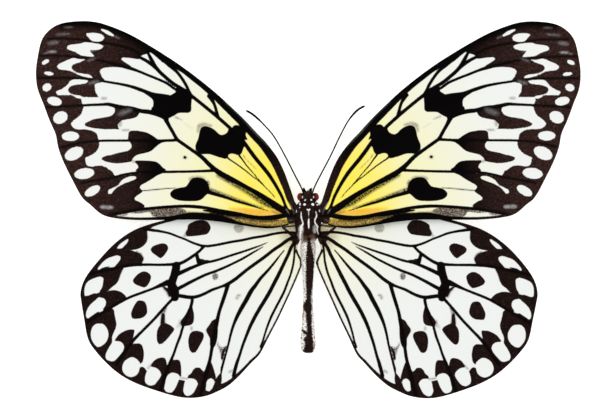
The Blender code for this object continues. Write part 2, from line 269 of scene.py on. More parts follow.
# The forewing's veins, each a line of out, fore and width
FOREWING_VEINS = {
    "radius": (
        (2.4, -1.2, 0.6), (3.6, -0.7, 0.6), (4.7, 0, 0.5), (5.3, 1.4, 0.45), (5.8, 2.75, 0.5),
        (6.57, 4.3, 0.55), (7.58, 6.1, 0.6), (8.74, 7.9, 0.7), (10, 9.5, 0.7), (11.5, 11.3, 0.7),
        (13, 13.3, 0.72), (15, 16, 0.6), (20, 20.7, 0.6), (25.2, 25, 0.6), (27.5, 26.7, 0.62),
        (29.6, 27.95, 0.6), (31.2, 29.2, 0.62), (32.7, 30.5, 0.65), (33.75, 31.7, 0.7), (34.5, 33, 0.7),
        (35.4, 34.7, 0.4)),
    "radius_fork": ((33.6, 31.3, 0.5), (34.6, 32.2, 0.6), (36, 33.1, 0.55), (37.4, 33.8, 0.5)),
    "radius_1": ((19.8, 20.7, 0.5), (20.2, 22.1, 0.5), (20.7, 23.7, 0.5), (21.8, 25.3, 0.7)),
    "radius_2": (
        (25.6, 25.3, 0.5), (26.25, 26.4, 0.5), (26.75, 27.5, 0.5), (27.35, 28.5, 0.5), (28.25, 29.8, 0.5),
        (29.15, 30.8, 0.5), (30.4, 31.8, 0.6), (31.3, 32.7, 0.8)),
    "radius_5": (
        (26, 25.6, 0.6), (28, 26.4, 0.6), (29.5, 26.9, 0.4), (31, 28, 0.42), (33.5, 29.1, 0.4),
        (35.1, 29.7, 0.4), (37.6, 30.7, 0.42), (39.25, 31.25, 0.6), (41.7, 31.9, 0.6), (45, 32.65, 0.4),
        (47.5, 33.15, 0.3), (52.4, 33.7, 0.3), (59.4, 33.9, 0.25)),
    "media_1": (
        (29.8, 24.9, 0.7), (31.8, 25.35, 0.55), (34.3, 25.65, 0.6), (36.8, 26.5, 0.65), (39.25, 27.3, 0.5),
        (41.7, 27.8, 0.4), (44, 28.15, 0.35), (47.5, 28.7, 0.35), (50.8, 28.95, 0.35), (59.8, 29, 0.3)),
    "media_2": (
        (31.2, 20.3, 0.8), (33, 21.1, 0.8), (35.1, 21.7, 0.85), (36.8, 21.85, 0.75), (38.5, 22.3, 0.7),
        (40, 22.5, 0.7), (42, 22.8, 0.75), (44.2, 23.3, 0.6), (45.5, 23.25, 0.45), (49.9, 23.05, 0.38),
        (58.3, 22.6, 0.35)),
    "radius_4": ((37, 34.3, 0.3), (40, 35.8, 0.4), (45, 36.8, 0.35), (51, 37.5, 0.3), (57.5, 37.6, 0.3)),
    "cell_end": (
        (31.4, 20.1, 0.9), (30.75, 18.8, 0.65), (30, 17.5, 0.6), (29.3, 16.2, 0.6), (28.9, 15.6, 0.6)),
    "cubitus": (
        (2.6, -1.2, 0.7), (4.2, -0.7, 1), (5.5, -0.2, 1.3), (6.5, 0.35, 1.4), (8.9, 2.05, 1.1),
        (11.2, 3.55, 0.92), (13.4, 4.8, 0.8), (15.6, 6, 0.9), (17.84, 7.15, 1.05), (20.07, 8.45, 1),
        (22, 10.15, 0.8), (23.4, 11.6, 0.75), (25.3, 13, 0.6), (28.9, 15.55, 0.6)),
    "cubitus_1": (
        (29.1, 15.5, 0.5), (32, 15.35, 0.42), (40, 15.3, 0.35), (46, 15.25, 0.35), (50.3, 14.9, 0.35),
        (54.8, 13.9, 0.35)),
    "cubitus_2": (
        (20.5, 8.7, 0.5), (25.8, 8.5, 0.38), (31.6, 8.38, 0.4), (38, 8.2, 0.35), (41.6, 7.6, 0.35),
        (43, 7.2, 0.35), (50.3, 5.9, 0.3)),
    "anal": (
        (2.8, -1.4, 0.6), (4.5, -1.2, 0.8), (6.7, -1.6, 0.95), (8.9, -1.85, 0.9), (11.2, -1.8, 0.75),
        (13.4, -1.5, 0.75), (15.6, -0.97, 0.65), (18.2, -0.47, 0.6), (20, -0.15, 0.5), (21.9, 0.25, 0.5),
        (24.8, 0.6, 0.6), (27.7, 0.76, 0.55), (31.6, 0.6, 0.5), (35.4, 0.3, 0.5), (37.4, 0.1, 0.5),
        (40, -0.3, 0.55), (44, -1, 0.4)),
}
# The hindwing's outline, from its root along the leading edge and back
HINDWING_MARGIN = (
    (2.2, -4.4), (3.1, -3), (5, -2.3), (8, -1.4), (13, -0.3), (20, 0.2), (26, -0.6), (30, -1.7),
    (35, -3.05), (38.65, -4.4), (42.15, -6.55), (45.2, -9.25), (48.2, -12.75), (49.95, -15.6), (50.6, -18.3),
    (50.3, -20.5), (49.6, -24), (48.6, -28.5), (46.75, -31.3), (44, -34.2), (41.3, -36.4),
    (38.35, -38.05), (35, -39.4), (30, -41), (26.5, -41.5), (23, -41.1), (20, -39.95),
    (17.5, -38.55), (15, -36.35), (12.5, -33.65), (10.8, -31.7), (9.07, -27.95), (7.05, -23.75),
    (5.35, -19.95), (3.07, -14.85), (2, -12.2), (1.9, -11.2), (2.9, -8.9), (2.8, -7.6), (2.3, -6.4),
)
# The hindwing's veins
HINDWING_VEINS = {
    "subcosta": (
        (2.6, -5.2, 0.5), (5.7, -5, 0.4), (8.6, -5.4, 0.4), (10.1, -5.75, 0.4), (12.75, -6.17, 0.4),
        (15, -6.68, 0.4), (17.6, -7.12, 0.4), (20.8, -7.8, 0.4), (23.3, -8.05, 0.4), (25.6, -7.4, 0.35),
        (27.5, -6.55, 0.3), (29.1, -5.95, 0.3), (30.6, -5.35, 0.35), (32.2, -4.95, 0.35),
        (33.7, -4.7, 0.45), (35.2, -4.5, 0.5), (36.5, -4.3, 0.5)),
    "radial_sector": (
        (23.25, -8, 0.4), (24.4, -9.2, 0.45), (25.6, -10.15, 0.5), (26.9, -11.05, 0.5),
        (28.4, -11.85, 0.55), (30.5, -12.15, 0.5), (33, -12.25, 0.4), (37, -12.3, 0.45), (41, -12.7, 0.5),
        (50.2, -14.7, 0.45)),
    "crossbar": ((24.9, -9.6, 0.4), (24.8, -10.5, 0.6), (24.5, -11.5, 0.8)),
    "cell_line_1": (
        (9.6, -7.2, 0.02), (11.1, -7.85, 0.12), (12.75, -8.45, 0.25), (15, -9.25, 0.32),
        (17.6, -10.1, 0.35), (20.8, -11.2, 0.38), (23, -11.7, 0.42), (24.3, -12.12, 0.5),
        (26.6, -13.1, 0.62), (29, -14.25, 0.75)),
    "cell_line_2": (
        (10.6, -8.2, 0.02), (12.75, -9.4, 0.25), (15, -10.75, 0.33), (17.6, -12.1, 0.35),
        (19.2, -12.87, 0.4), (20.8, -13.57, 0.42), (23, -14.4, 0.45), (25.8, -15.8, 0.52),
        (28.8, -17.45, 0.65)),
    "cubitus": (
        (2.4, -5.7, 0.6), (4.7, -6.5, 0.6), (6.3, -7.6, 0.6), (8.25, -8.85, 0.55), (9.95, -10.15, 0.55),
        (11.73, -11.45, 0.55), (13.48, -12.72, 0.55), (14.93, -13.87, 0.55), (16.4, -15.15, 0.6),
        (17.9, -16.2, 0.6), (19.2, -16.85, 0.45), (20, -17.15, 0.4), (21.6, -17.75, 0.48),
        (23.1, -18.55, 0.5), (24.7, -19.2, 0.55), (26.2, -19.42, 0.65), (28.4, -19.12, 0.68)),
    "cell_end": (
        (29.35, -12.4, 1.6), (29.5, -13.5, 1.7), (29.8, -14.6, 1.6), (30.15, -15.6, 1.6),
        (30.4, -16.6, 1.7), (29.9, -17.8, 2.1), (29.6, -18.8, 1.8), (29.6, -19.5, 1.5)),
    "media_1": (
        (31.2, -16.2, 1.2), (32.3, -16.6, 0.8), (34.5, -17.6, 0.42), (37, -18.6, 0.42), (40.1, -19.9, 0.42),
        (44.3, -22.3, 0.45), (49.2, -25.2, 0.5)),
    "media_2": (
        (30.1, -19.8, 0.55), (31.2, -21, 0.45), (32.65, -22.7, 0.5), (34, -24.3, 0.45), (35.4, -25.8, 0.45),
        (36.7, -27.15, 0.45), (38, -28.5, 0.5), (40, -31, 0.5), (42.2, -34.3, 0.5)),
    "media_3": (
        (25.8, -20, 0.5), (26.2, -21.8, 0.5), (27.7, -25.8, 0.4), (28.3, -28, 0.42), (29.05, -30, 0.38),
        (29.7, -32, 0.38), (30.4, -33.7, 0.5), (31.7, -37, 0.5), (32.8, -40.4, 0.5)),
    "cubitus_1": (
        (18.15, -16.4, 0.7), (18.6, -18, 0.65), (19.3, -20.3, 0.62), (19.95, -22.4, 0.55),
        (20.3, -24.1, 0.65), (20.6, -25.9, 0.7), (21.1, -29, 0.9), (21.4, -30.5, 0.6), (21.65, -32.3, 0.55),
        (22, -34, 0.6), (22.4, -35.5, 0.8), (23.2, -38.5, 0.6), (23.9, -41.2, 0.5)),
    "fold": (
        (5.85, -8.95, 0.1), (6.8, -10, 0.15), (7.4, -10.75, 0.25), (8.5, -12.1, 0.35), (9.8, -13.6, 0.45),
        (11.2, -15.1, 0.55), (12.3, -16.65, 0.65), (13.35, -18.1, 0.8), (14.3, -20, 0.8),
        (15.35, -21.95, 0.75), (16.25, -23.9, 0.6), (16.9, -25.7, 0.45), (17.4, -27.7, 0.38),
        (17.8, -29.8, 0.32), (18.2, -31.6, 0.28), (18.7, -33.5, 0.32), (19.15, -35.1, 0.4),
        (19.3, -36.3, 0.15)),
    "anal_1": (
        (3.3, -7, 0.5), (4.3, -8.4, 0.6), (4.95, -9.9, 0.6), (5.8, -11.5, 0.6), (6.6, -13.1, 0.65),
        (7.45, -14.8, 0.7), (8.3, -16.4, 0.7), (9.1, -18, 0.7), (10.1, -19.8, 0.7), (11.25, -21.75, 0.68),
        (12.3, -23.75, 0.66), (13.2, -25.8, 0.6), (13.9, -27.8, 0.5), (14.6, -30, 0.45),
        (15.2, -32.3, 0.45), (15.75, -34, 0.6), (16.15, -35.5, 0.65), (16.5, -36.8, 0.6)),
    "anal_2": (
        (3.3, -7.2, 0.3), (3.38, -8.1, 0.3), (3.53, -9.4, 0.3), (3.67, -11, 0.32), (3.97, -12.6, 0.33),
        (4.43, -14.25, 0.33), (5.07, -15.86, 0.35), (5.87, -18, 0.4), (6.77, -19.85, 0.4),
        (7.77, -21.8, 0.4), (8.68, -23.75, 0.4), (9.3, -25.5, 0.34), (9.85, -27.4, 0.28),
        (10.25, -29.1, 0.28), (10.65, -30.4, 0.35)),
}


# How much wider all round the painted veins are than their raised cores
VEIN_GROWTH = 0.07


# The forewing's black bands, each a line of out, fore and width
FOREWING_STROKES = (
    ((2.4, 0.4, 2.6), (3.4, 2.6, 2.8), (4.1, 4.8, 2.9), (5, 7.5, 3.3), (6.1, 10.1, 3.4), (7.3, 12.2, 3.5),
     (9.3, 14.8, 3.2), (11.2, 16.8, 3.1), (13, 18.8, 3.1), (15, 20.9, 3.1), (17.5, 23.4, 3),
     (20, 25.8, 2.8), (22.5, 27.9, 2.5), (25.1, 29.8, 2.25), (27.6, 31.6, 2.1), (30.1, 33.1, 2.6),
     (31.5, 34, 2.9), (33, 34.9, 2.3), (35.1, 36.1, 2.1), (38, 37.9, 5)),
    ((4.6, -3.3, 0.45), (6.1, -3.75, 0.5), (9, -4, 0.7), (12, -3.85, 0.8), (16, -3.15, 1.1),
     (18, -2.8, 1.7), (20, -2.55, 1.9), (22, -2.3, 1.9), (25, -2.15, 2), (28, -2.15, 2.2),
     (30.5, -2.15, 1.5), (33, -2.15, 1.1), (38, -2.1, 0.9), (43, -1.65, 0.9), (45.7, -0.9, 0.9)),
    ((9, -0.25, 0.12), (11, 0.35, 0.25), (13.4, 1.15, 0.45), (15.4, 1.7, 0.5), (17.3, 2.35, 0.55),
     (19.1, 2.95, 0.65), (21, 3.5, 0.75), (22.6, 4, 0.9)),
    ((15, -1.45, 0.3), (17, -1.15, 0.6), (19.5, -0.75, 0.7), (21.5, -0.4, 0.5), (23.5, -0.15, 0.3)),
    ((16.5, -2.5, 0.5), (18.5, -2.1, 1), (20.5, -1.65, 1.3), (24, -1.35, 1.3), (27, -1.35, 1.3),
     (29.5, -1.65, 0.9), (32, -1.9, 0.5)),
    ((29.5, 4.85, 0.1), (32, 4.65, 0.12), (36.8, 4.2, 0.1)),
    ((7.35, 2.65, 0.15), (8.5, 4, 0.18), (9.5, 5, 0.2), (10.2, 5.8, 0.25), (11.2, 7, 0.2),
     (12.46, 8.5, 0.22), (13.6, 9.8, 0.27), (14.5, 11.1, 0.3), (15.2, 12, 0.4)),
    ((10.2, 5.7, 0.22), (11.2, 6.6, 0.22), (12.1, 7.2, 0.22), (13.4, 8.3, 0.25), (14.7, 9.3, 0.27),
     (16, 10.26, 0.27), (17.3, 11.1, 0.3), (17.85, 11.6, 0.4)),
)
# The outlines of the forewing's black patches
FOREWING_PATCHES = (
    ((14.3, 13.7), (14.6, 12.7), (15.2, 12.1), (16, 12.3), (16.9, 12.5), (17.6, 12.2), (17.85, 11.5),
     (18.3, 11.3), (19, 11.5), (20.1, 11.8), (21, 12.15), (22, 12.4), (23.6, 12.4), (24.2, 12.7),
     (24.8, 13.4), (24.85, 14.4), (24.45, 15.3), (24.1, 16.3), (23.9, 17.4), (23.5, 18.3), (22.7, 18.6),
     (21.9, 18.45), (21.2, 18.15), (20.4, 17.6), (19.8, 16.95), (19.1, 16.6), (18.4, 16.75), (17.8, 17.2),
     (17.5, 17.9), (16.8, 18.1), (16.4, 18.65), (15.8, 18.85), (15.2, 18.65), (14.6, 19.4), (13.7, 18.2),
     (13.7, 17.3), (13.75, 16.4), (13.3, 15.4), (13.9, 15.6), (14.2, 15.3), (13.75, 14.6)),
    ((25.7, 25.4), (25.7, 23.4), (25.8, 21.9), (26.3, 21.6), (27.7, 21.6), (28.7, 21.5), (29.3, 21.1),
     (30.2, 20.6), (31, 20.3), (32, 20.1), (34.6, 22.2), (34.2, 22.9), (34.15, 23.6), (34.3, 24.4),
     (35, 25.05), (36, 25.7), (36.5, 26.1), (32.2, 25.5), (30.9, 25.1), (30.2, 25.5), (29.2, 26.1),
     (29.1, 26.4), (27, 26.9)),
    ((22, 4.3), (22.2, 5.5), (22.5, 6.2), (23, 6.7), (23.7, 7), (24.6, 7.15), (25.6, 7), (26.3, 6.4),
     (26.75, 5.7), (27.3, 5.1), (28.3, 4.9), (29.3, 4.7), (30.2, 4.3), (30.8, 3.6), (30.7, 3), (30, 2.4),
     (28.9, 2.05), (27.3, 1.9), (25.8, 1.9), (24.6, 2), (23.7, 2.4), (23.1, 3), (22.6, 3.4)),
    ((2, 1.2), (3.2, 0.3), (4.4, -0.2), (5.4, -1.2), (4.8, -1.9), (4.7, -2.7), (4.3, -3.2), (3.2, -3.1),
     (2, -3.4)),
    ((37.4, 21.3), (38.1, 20.5), (39.1, 20.2), (40.1, 20), (41.2, 19.8), (41.8, 19.3), (42.2, 18.9),
     (42.1, 18.2), (41.7, 17.85), (43.4, 17.85), (45.1, 17.8), (46.9, 18), (48.5, 18.25), (49.4, 18.6),
     (49.6, 18.95), (49.1, 19.3), (48.2, 19.7), (47.5, 20), (45.7, 20.3), (44.6, 20.5), (43.7, 20.75),
     (43.1, 21.2), (42.75, 21.7), (42.8, 22.4), (43.2, 22.9), (40, 23), (37.5, 22.4)),
    ((33.2, 15.6), (33.9, 16.1), (34.7, 16.6), (35.8, 17.15), (37, 17.35), (37.9, 17.5), (39.3, 17.45),
     (39.75, 17.1), (39.8, 16.4), (39.9, 15.6), (39.5, 15.05), (39.1, 14.4), (39.1, 13.8), (39.5, 13.3),
     (40, 13), (40.9, 12.8), (42.3, 12.5), (43.7, 12.1), (44.8, 11.9), (45.7, 11.5), (45.75, 11.1),
     (45.1, 10.75), (44.25, 10.5), (43, 10.3), (41.6, 10.3), (40.1, 10.5), (39.1, 10.75), (38.9, 11.3),
     (38.1, 12.05), (37.4, 12.3), (36, 12.6), (34.85, 13), (34.1, 13.6), (33.3, 14.3), (32.5, 14.85),
     (31.6, 15.15)),
    ((31.7, 8.5), (32.3, 9.4), (32.7, 9.9), (33.5, 10.55), (34.7, 10.8), (36.4, 10.87), (38.2, 10.85),
     (38.4, 10.5), (37.8, 9.95), (37.6, 9.3), (38.1, 8.4)),
)

# The outline of the forewing's black tip and outer edge
FOREWING_TIP = (
    (34, 36), (35.3, 34.7), (36.9, 34.1), (37.4, 33.35), (39.25, 33.55), (40.4, 33.65), (41.1, 33.6),
    (41.4, 33.3), (40.9, 32.8), (40.1, 32.3), (39.2, 31.65), (40, 31.2), (41.7, 31.45), (43.5, 31.5),
    (44.9, 31.35), (45.9, 30.95), (46.2, 30.5), (45.9, 29.9), (45.6, 29.2), (45.1, 28.6), (45.9, 28.1),
    (46.7, 27.95), (47.3, 27.5), (47.2, 26.9), (47.2, 26.2), (46.9, 25.6), (46.5, 24.9), (47.5, 24.85),
    (50, 24.85), (50.3, 24.5), (50.1, 23.5), (49.8, 22.8), (50.1, 21.8), (50.5, 21), (51.2, 20.4),
    (51.9, 19.9), (52.5, 19.3), (52.6, 18.8), (52.1, 18.2), (51.2, 17.8), (49.4, 17.75), (48, 17.5),
    (47.1, 17), (46.75, 16.5), (46.6, 15.75), (46.4, 15), (46.3, 14.5), (46.5, 13.7), (46.9, 13.1),
    (47.5, 12.5), (48.2, 12.1), (49.1, 11.7), (49.5, 11.5), (49.4, 10.75), (49.2, 10), (48.7, 9.6),
    (48, 9.5), (46.9, 9.7), (45.9, 9.7), (45.1, 9.5), (44.6, 9.2), (44.1, 8.8), (43.35, 8.4), (43.2, 7.9),
    (42, 7.3), (38.5, 7.9), (34, 8.2), (32.3, 8.15), (33.5, 7.6), (34.7, 6.8), (36, 6.05), (37, 5.5),
    (37.4, 5), (37.1, 4.5), (36.8, 4.05), (37.4, 3.55), (38.1, 3.1), (38.6, 2.5), (38.3, 2.1), (37.55, 1.8),
    (36.8, 1.3), (36.4, 0.85), (37.5, 0.2), (44, -1.3), (48, 0), (53, 4.8), (56, 11.8), (61, 24), (62, 36),
    (57, 43), (46, 43.5), (38, 41),
)


def forewing_dark() -> list[Mark]:
    """The black bands and patches of the forewing."""
    return [
        Patch(FOREWING_TIP, 0.3),
        Spot(27.25, 11.65, 0.33, 0.29),
        *map(Stroke, FOREWING_STROKES),
        *map(Patch, FOREWING_PATCHES),
    ]


# The white marks on the forewing's black, as lines and as outlines
FOREWING_LIGHT_STROKES = (
    ((43.2, 38.45, 0.4), (44.2, 39, 0.75), (45, 39.4, 0.6), (45.7, 39.7, 0.3)),
)
FOREWING_LIGHT_PATCHES = (
    ((45.1, 37.9), (45.5, 37.35), (46.5, 37.05), (47.8, 37.2), (48.3, 37.6), (48.65, 38.1), (49.1, 38.5),
     (49, 38.8), (47.8, 38.95), (46.5, 38.85), (45.5, 38.5)),
    ((45.3, 36), (46, 36.4), (47.1, 36.65), (48.6, 36.8), (49.5, 36.8), (50.4, 36.5), (52, 36.3),
     (52.9, 36.1), (53.3, 35.7), (53.2, 35.3), (52.5, 35), (51.3, 34.6), (50.3, 34), (48.5, 33.75),
     (47.3, 33.8), (47.7, 34.2), (48.3, 34.9), (48.1, 35.15), (46.8, 35.2), (45.8, 35.5)),
    ((49.3, 33.1), (50.5, 33.05), (51.7, 33.3), (52.5, 33.15), (53.5, 32.7), (54.7, 32.2), (55.4, 31.7),
     (55.5, 31.3), (55, 30.9), (53.7, 30.7), (52.5, 30.5), (51.8, 30.2), (50.3, 29.5), (48.5, 29.1),
     (47.7, 29.1), (48, 29.5), (49, 29.85), (50, 30), (51.2, 30.3), (52.2, 30.8), (52.4, 31.3), (52, 31.9),
     (50.9, 32.3), (49.9, 32.7)),
    ((48.65, 28.4), (50, 28.6), (51.4, 28.65), (52.4, 28.5), (53.1, 27.7), (53.7, 27.1), (54.9, 26.4),
     (55.7, 26.1), (55.8, 25.75), (55.4, 25.3), (52.4, 25.3), (51.6, 24.85), (50.5, 24.5), (50, 24.85),
     (50.8, 25.2), (52.1, 25.5), (52.9, 25.9), (53.1, 26.6), (52.4, 27.2), (50.8, 27.6), (49.1, 27.9)),
    ((38.3, 7.3), (39.2, 7.4), (40.5, 7), (41.4, 6.4), (42.1, 5.5), (43.2, 4.9), (44.2, 4.4), (44.4, 4.05),
     (44.3, 3.6), (43.8, 3.5), (43.3, 4.1), (42.6, 4.85), (41.7, 5.4), (40.4, 6), (39, 6.5), (38.1, 7)),
)


def forewing_light() -> list[Mark]:
    """The white marks that lie on the forewing's black."""
    return [
        *map(Stroke, FOREWING_LIGHT_STROKES),
        *map(Patch, FOREWING_LIGHT_PATCHES),
        *(Spot(*row) for row in ((58.1, 32.5, 0.85, 0.42, -25), (57.35, 29.95, 1.02, 0.38, 8),
                                 (57.85, 26.95, 1, 0.8, -20), (56.2, 23.95, 1.6, 0.9, 12),
                                 (54.95, 20.4, 1.62, 1.27, -25), (52.75, 16.3, 1.9, 1.02, 0),
                                 (51.95, 12.45, 2.15, 1.32, -25), (49.65, 8, 2.2, 1.17, -8),
                                 (47.85, 4.15, 1.85, 0.92, -30))),
    ]


def forewing_ink() -> list[Mark]:
    """The dark marks that lie over the forewing's white ones."""
    return [
        Spot(49.1, 31.15, 3.2, 1.25, 2),
        Spot(50.3, 26.4, 2.85, 1.2),
        *(Stroke(FOREWING_VEINS[name]) for name in ("radius_5", "media_1", "media_2", "cubitus_1")),
    ]


def forewing_soft() -> list[SoftMark]:
    """The grey and brown shadings of the forewing."""
    return [
        *soft_spots(Shade.HALF, 0.25, (27.25, 11.6, 0.5, 0.45), (40.4, 17.6, 0.9, 0.25),
                    (38.7, 10.7, 0.5, 0.3, 20)),
        *soft_spots(Shade.DEEP, 0.35, (22.4, 5.6, 0.5, 0.9)),
        *soft_spots(Shade.HALF, 0.3, (24.7, 6.8, 1.9, 0.7), (45.2, 24.6, 0.7, 0.3),
                    (46.6, 30.2, 0.5, 0.9, 20)),
        *soft_spots(Shade.DEEP, 0.3, (41, -0.95, 1, 0.35, -10)),
        *soft_spots(Shade.HALF, 0.4, (41.7, 19.3, 0.45, 0.9)),
        SoftMark(Patch(((27.4, -0.5), (28.5, 0.3), (31, 0.5), (34.5, 0.3), (37, -0.1), (39.5, -0.6),
                        (37.5, -0.75), (35.3, -0.5), (34.8, -1.3), (33.5, -1.8), (31.2, -1.7),
                        (29, -1.3)), 0.4), Shade.FULL, 0.15),
        *soft_lines(Shade.DEEP, 0.25,
                    ((12, -2.2, 0.4), (14, -1.95, 0.6), (16.5, -1.6, 0.8), (19, -1.3, 0.7),
                     (22, -0.6, 0.4)),
                    ((7, -2.4, 0.5), (10, -2.5, 0.5), (13, -2.3, 0.5)),
                    ((15, -2.8, 0.3), (18, -2.2, 0.5))),
        *soft_lines(Shade.HALF, 0.25, ((4.5, -3.1, 0.2), (9, -3.6, 0.3), (14, -3, 0.6))),
        *soft_lines(Shade.HALF, 0.3,
                    ((21.4, 18.7, 0.5), (22.9, 19, 0.9), (23.9, 18.7, 0.9), (24.3, 17.4, 0.5)),
                    ((4.6, -0.9, 0.4), (6.5, -0.9, 0.5), (8, -0.4, 0.3))),
        *soft_lines(Shade.DEEP, 0.3,
                    ((10, 0.4, 0.2), (12, 0.9, 0.4), (15.4, 2.05, 0.6), (19.1, 3.4, 0.8),
                     (22.3, 4.6, 0.9))),
        *soft_lines(Shade.FULL, 0.35,
                    ((12.5, 0.85, 0.2), (15.4, 1.75, 0.45), (19.1, 3.1, 0.6), (21.8, 4.1, 0.7))),
        *soft_lines(Shade.DEEP, 0.15,
                    ((29.5, 4.85, 0.15), (32, 4.65, 0.2), (33.5, 4.5, 0.3), (36.8, 4.2, 0.2))),
        *soft_lines(Shade.DEEP, 0.12, ((14.3, 12.1, 0.15), (13.5, 11, 0.1), (11.5, 9.06, 0.12))),
        *soft_lines(Shade.HALF, 0.2, ((27.8, 20, 0.2), (29.2, 20.6, 0.5))),
        *soft_lines(Shade.FAINT, 0.15, ((25.4, 18, 0.1), (27.2, 19.2, 0.15))),
        *soft_lines(Shade.FULL, 0.45,
                    ((7, 0.3, 0.9), (9.5, 1.4, 1.3), (11.8, 2.8, 1.1), (14, 4.2, 0.9), (17, 5.9, 0.8),
                     (20, 7.6, 0.7))),
    ]


def forewing_ash() -> list[SoftMark]:
    """The faint pale marks that dust the forewing's black."""
    return [
        *soft_spots(Shade.FAINT, 0.3, (56.4, 36.7, 1.25, 0.4, -8), (54.2, 38.6, 1.5, 0.2, -3),
                    (48, 33, 0.9, 0.2, -20), (47.4, 28.1, 1.2, 0.35, -15), (48, 35, 0.7, 0.25)),
        *soft_spots(Shade.FAINT, 0.25, (53, 40.15, 0.9, 0.15), (42.4, 38.1, 0.7, 0.15, 25)),
        *soft_spots(Shade.DEEP, 0.3, (56.6, 34.7, 0.9, 0.2, -3), (44.1, 0.6, 0.8, 0.35),
                    (45.3, 0.65, 0.8, 0.35)),
        *soft_spots(Shade.HALF, 0.25, (58, 34.4, 0.35, 0.1, -10)),
        *soft_spots(Shade.FAINT, 0.5, (40.6, 21.6, 1.6, 0.5, -20)),
        *soft_lines(Shade.HALF, 0.1, ((3.1, -1, 0.12), (3.7, 0.2, 0.16), (4.3, 1.5, 0.2))),
        *soft_lines(Shade.HALF, 0.12, ((4.3, -0.8, 0.1), (5, 0.1, 0.14))),
        *soft_lines(Shade.FAINT, 0.2, ((3.7, -2.3, 0.12), (4.4, -2.5, 0.12))),
        *soft_lines(Shade.FAINT, 0.3,
                    ((8.5, 14, 0.2), (11.5, 17.1, 0.4), (14.5, 20.6, 0.4), (18, 23.9, 0.3))),
    ]


# The outlines of the white spots along the hindwing's rim
HINDWING_RIM_SPOTS = (
    ((40.3, -6.5), (40.9, -6.9), (41.7, -7.4), (42.5, -8.1), (42.9, -8.66), (42.5, -8.7), (41.7, -8.6),
     (41.2, -8.1), (40.6, -7.5), (40.2, -6.9)),
    ((42.2, -10.5), (42.9, -10.3), (44, -10.6), (45.1, -11), (46, -11.7), (46.7, -12.5), (47.2, -13.2),
     (47.2, -13.6), (46.1, -13), (45.1, -12.8), (43.8, -12.5), (42.9, -12), (42.4, -11.2)),
    ((46, -15.5), (46.6, -15.1), (47.5, -15.3), (48.5, -15.7), (49.3, -16.2), (49.75, -17), (49.9, -18.2),
     (49.75, -19.3), (49.2, -19.3), (48.1, -18.9), (47.1, -18.6), (46.3, -17.9), (46, -16.9)),
    ((45.06, -20.7), (45.6, -20), (46.6, -19.85), (47.4, -20.4), (48.5, -21.4), (49.1, -22.4),
     (49.3, -23.4), (49, -24.3), (48.3, -23.9), (47.1, -23.1), (45.9, -22.4), (45.2, -21.7)),
    ((44.2, -27.5), (44.55, -26.6), (45.2, -25.8), (46.25, -25.5), (47.1, -25.6), (47.8, -26.3),
     (48.1, -27.5), (47.95, -28.7), (47.4, -29.7), (46.6, -30.5), (45.9, -30.4), (44.9, -29.7),
     (44.3, -28.7)),
    ((40.6, -30.6), (41, -29.7), (41.8, -29.4), (42.9, -29.4), (43.5, -30), (44.2, -31.1), (44.7, -32.25),
     (44.6, -33.1), (43.9, -33.5), (42.9, -33.6), (42, -32.8), (41, -31.6)),
    ((37.1, -34.3), (37.4, -33.6), (38.3, -32.9), (39.1, -32.85), (40, -33.3), (40.6, -33.9), (41, -35),
     (40.8, -36), (40.1, -36.75), (39.1, -37.1), (38.1, -36.8), (37.4, -36)),
    ((32.5, -36.7), (32.8, -35.8), (33.7, -35.1), (34.7, -35), (35.3, -35.5), (35.8, -36.5), (36, -37.7),
     (35.8, -38.5), (34.9, -39), (34, -38.8), (33.2, -37.9)),
    ((28.5, -37), (29.1, -36.4), (30.1, -36.2), (30.9, -36.7), (31.3, -37.35), (31.6, -38.7), (31.8, -39.7),
     (31.5, -40.3), (30.45, -40.6), (29.8, -40.1), (29.1, -38.9)),
    ((24.5, -38.5), (24.8, -37.9), (25.4, -37.5), (26.7, -37.5), (27.3, -38.2), (27.5, -39.2),
     (27.65, -40.2), (27.2, -41.1), (26.4, -41.2), (25.5, -40.6), (24.85, -39.4)),
    ((20.9, -37.8), (21.5, -37.4), (22, -37.5), (22.5, -38.1), (22.6, -39.2), (22.7, -40), (22, -40.2),
     (21.3, -39.5), (20.9, -38.5)),
    ((16.9, -35.6), (18.3, -36.4), (18.8, -38.1), (17.6, -37.4)),
)


# The hindwing's black bands
HINDWING_STROKES = (
    ((8, -1.4, 0.4), (20, 0, 0.6), (27, -1.1, 1), (30, -1.9, 1.1), (33, -2.65, 1.2), (35.5, -3.4, 1.6),
     (38.6, -4.7, 3.2), (42.1, -6.9, 4.2), (45.2, -9.5, 5), (48.2, -13, 5.6), (49.95, -15.8, 6.2),
     (50.65, -18.5, 6.4), (50.35, -20.7, 6.6), (49.6, -24.2, 6.6), (48.6, -28.7, 6.6), (46.7, -31.5, 6.8),
     (42.8, -35.5, 6.8), (38.3, -38.3, 6.8), (33, -40.2, 7), (28, -41.5, 7.2), (24.5, -41.5, 6.6),
     (21.5, -40.8, 5.2), (20, -40.2, 3.4), (18.6, -39.4, 2), (17, -38.3, 1.5), (15.4, -36.9, 1.3),
     (13.8, -35.3, 1.1), (12.3, -33.6, 1), (10.8, -31.9, 0.8), (9.07, -28.15, 0.65), (7.05, -23.95, 0.62),
     (5.35, -20.15, 0.6), (3.07, -15.05, 0.6), (2, -12.4, 0.6), (1.9, -11.4, 0.7), (2.9, -9.1, 0.8)),
    ((32.2, -17.2, 0.3), (31.2, -17.9, 0.6), (30.7, -19, 0.6)),
    ((18.3, -30.4, 0.2), (18.9, -31.5, 0.5), (19.2, -33, 0.4)),
    ((32.1, -23.4, 0.7), (32.2, -25.2, 0.9)),
    ((45.3, -18.75, 0.9), (46.6, -19.2, 1), (48, -19.7, 1.1), (49.7, -20.5, 1.2)),
    ((6.1, -3.9, 0.35), (5.2, -4.6, 0.5), (4.2, -5.5, 0.55), (3.4, -6.1, 0.6)),
    ((2.6, -3.4, 0.3), (3.6, -3.6, 0.3), (6, -3.8, 0.25)),
)
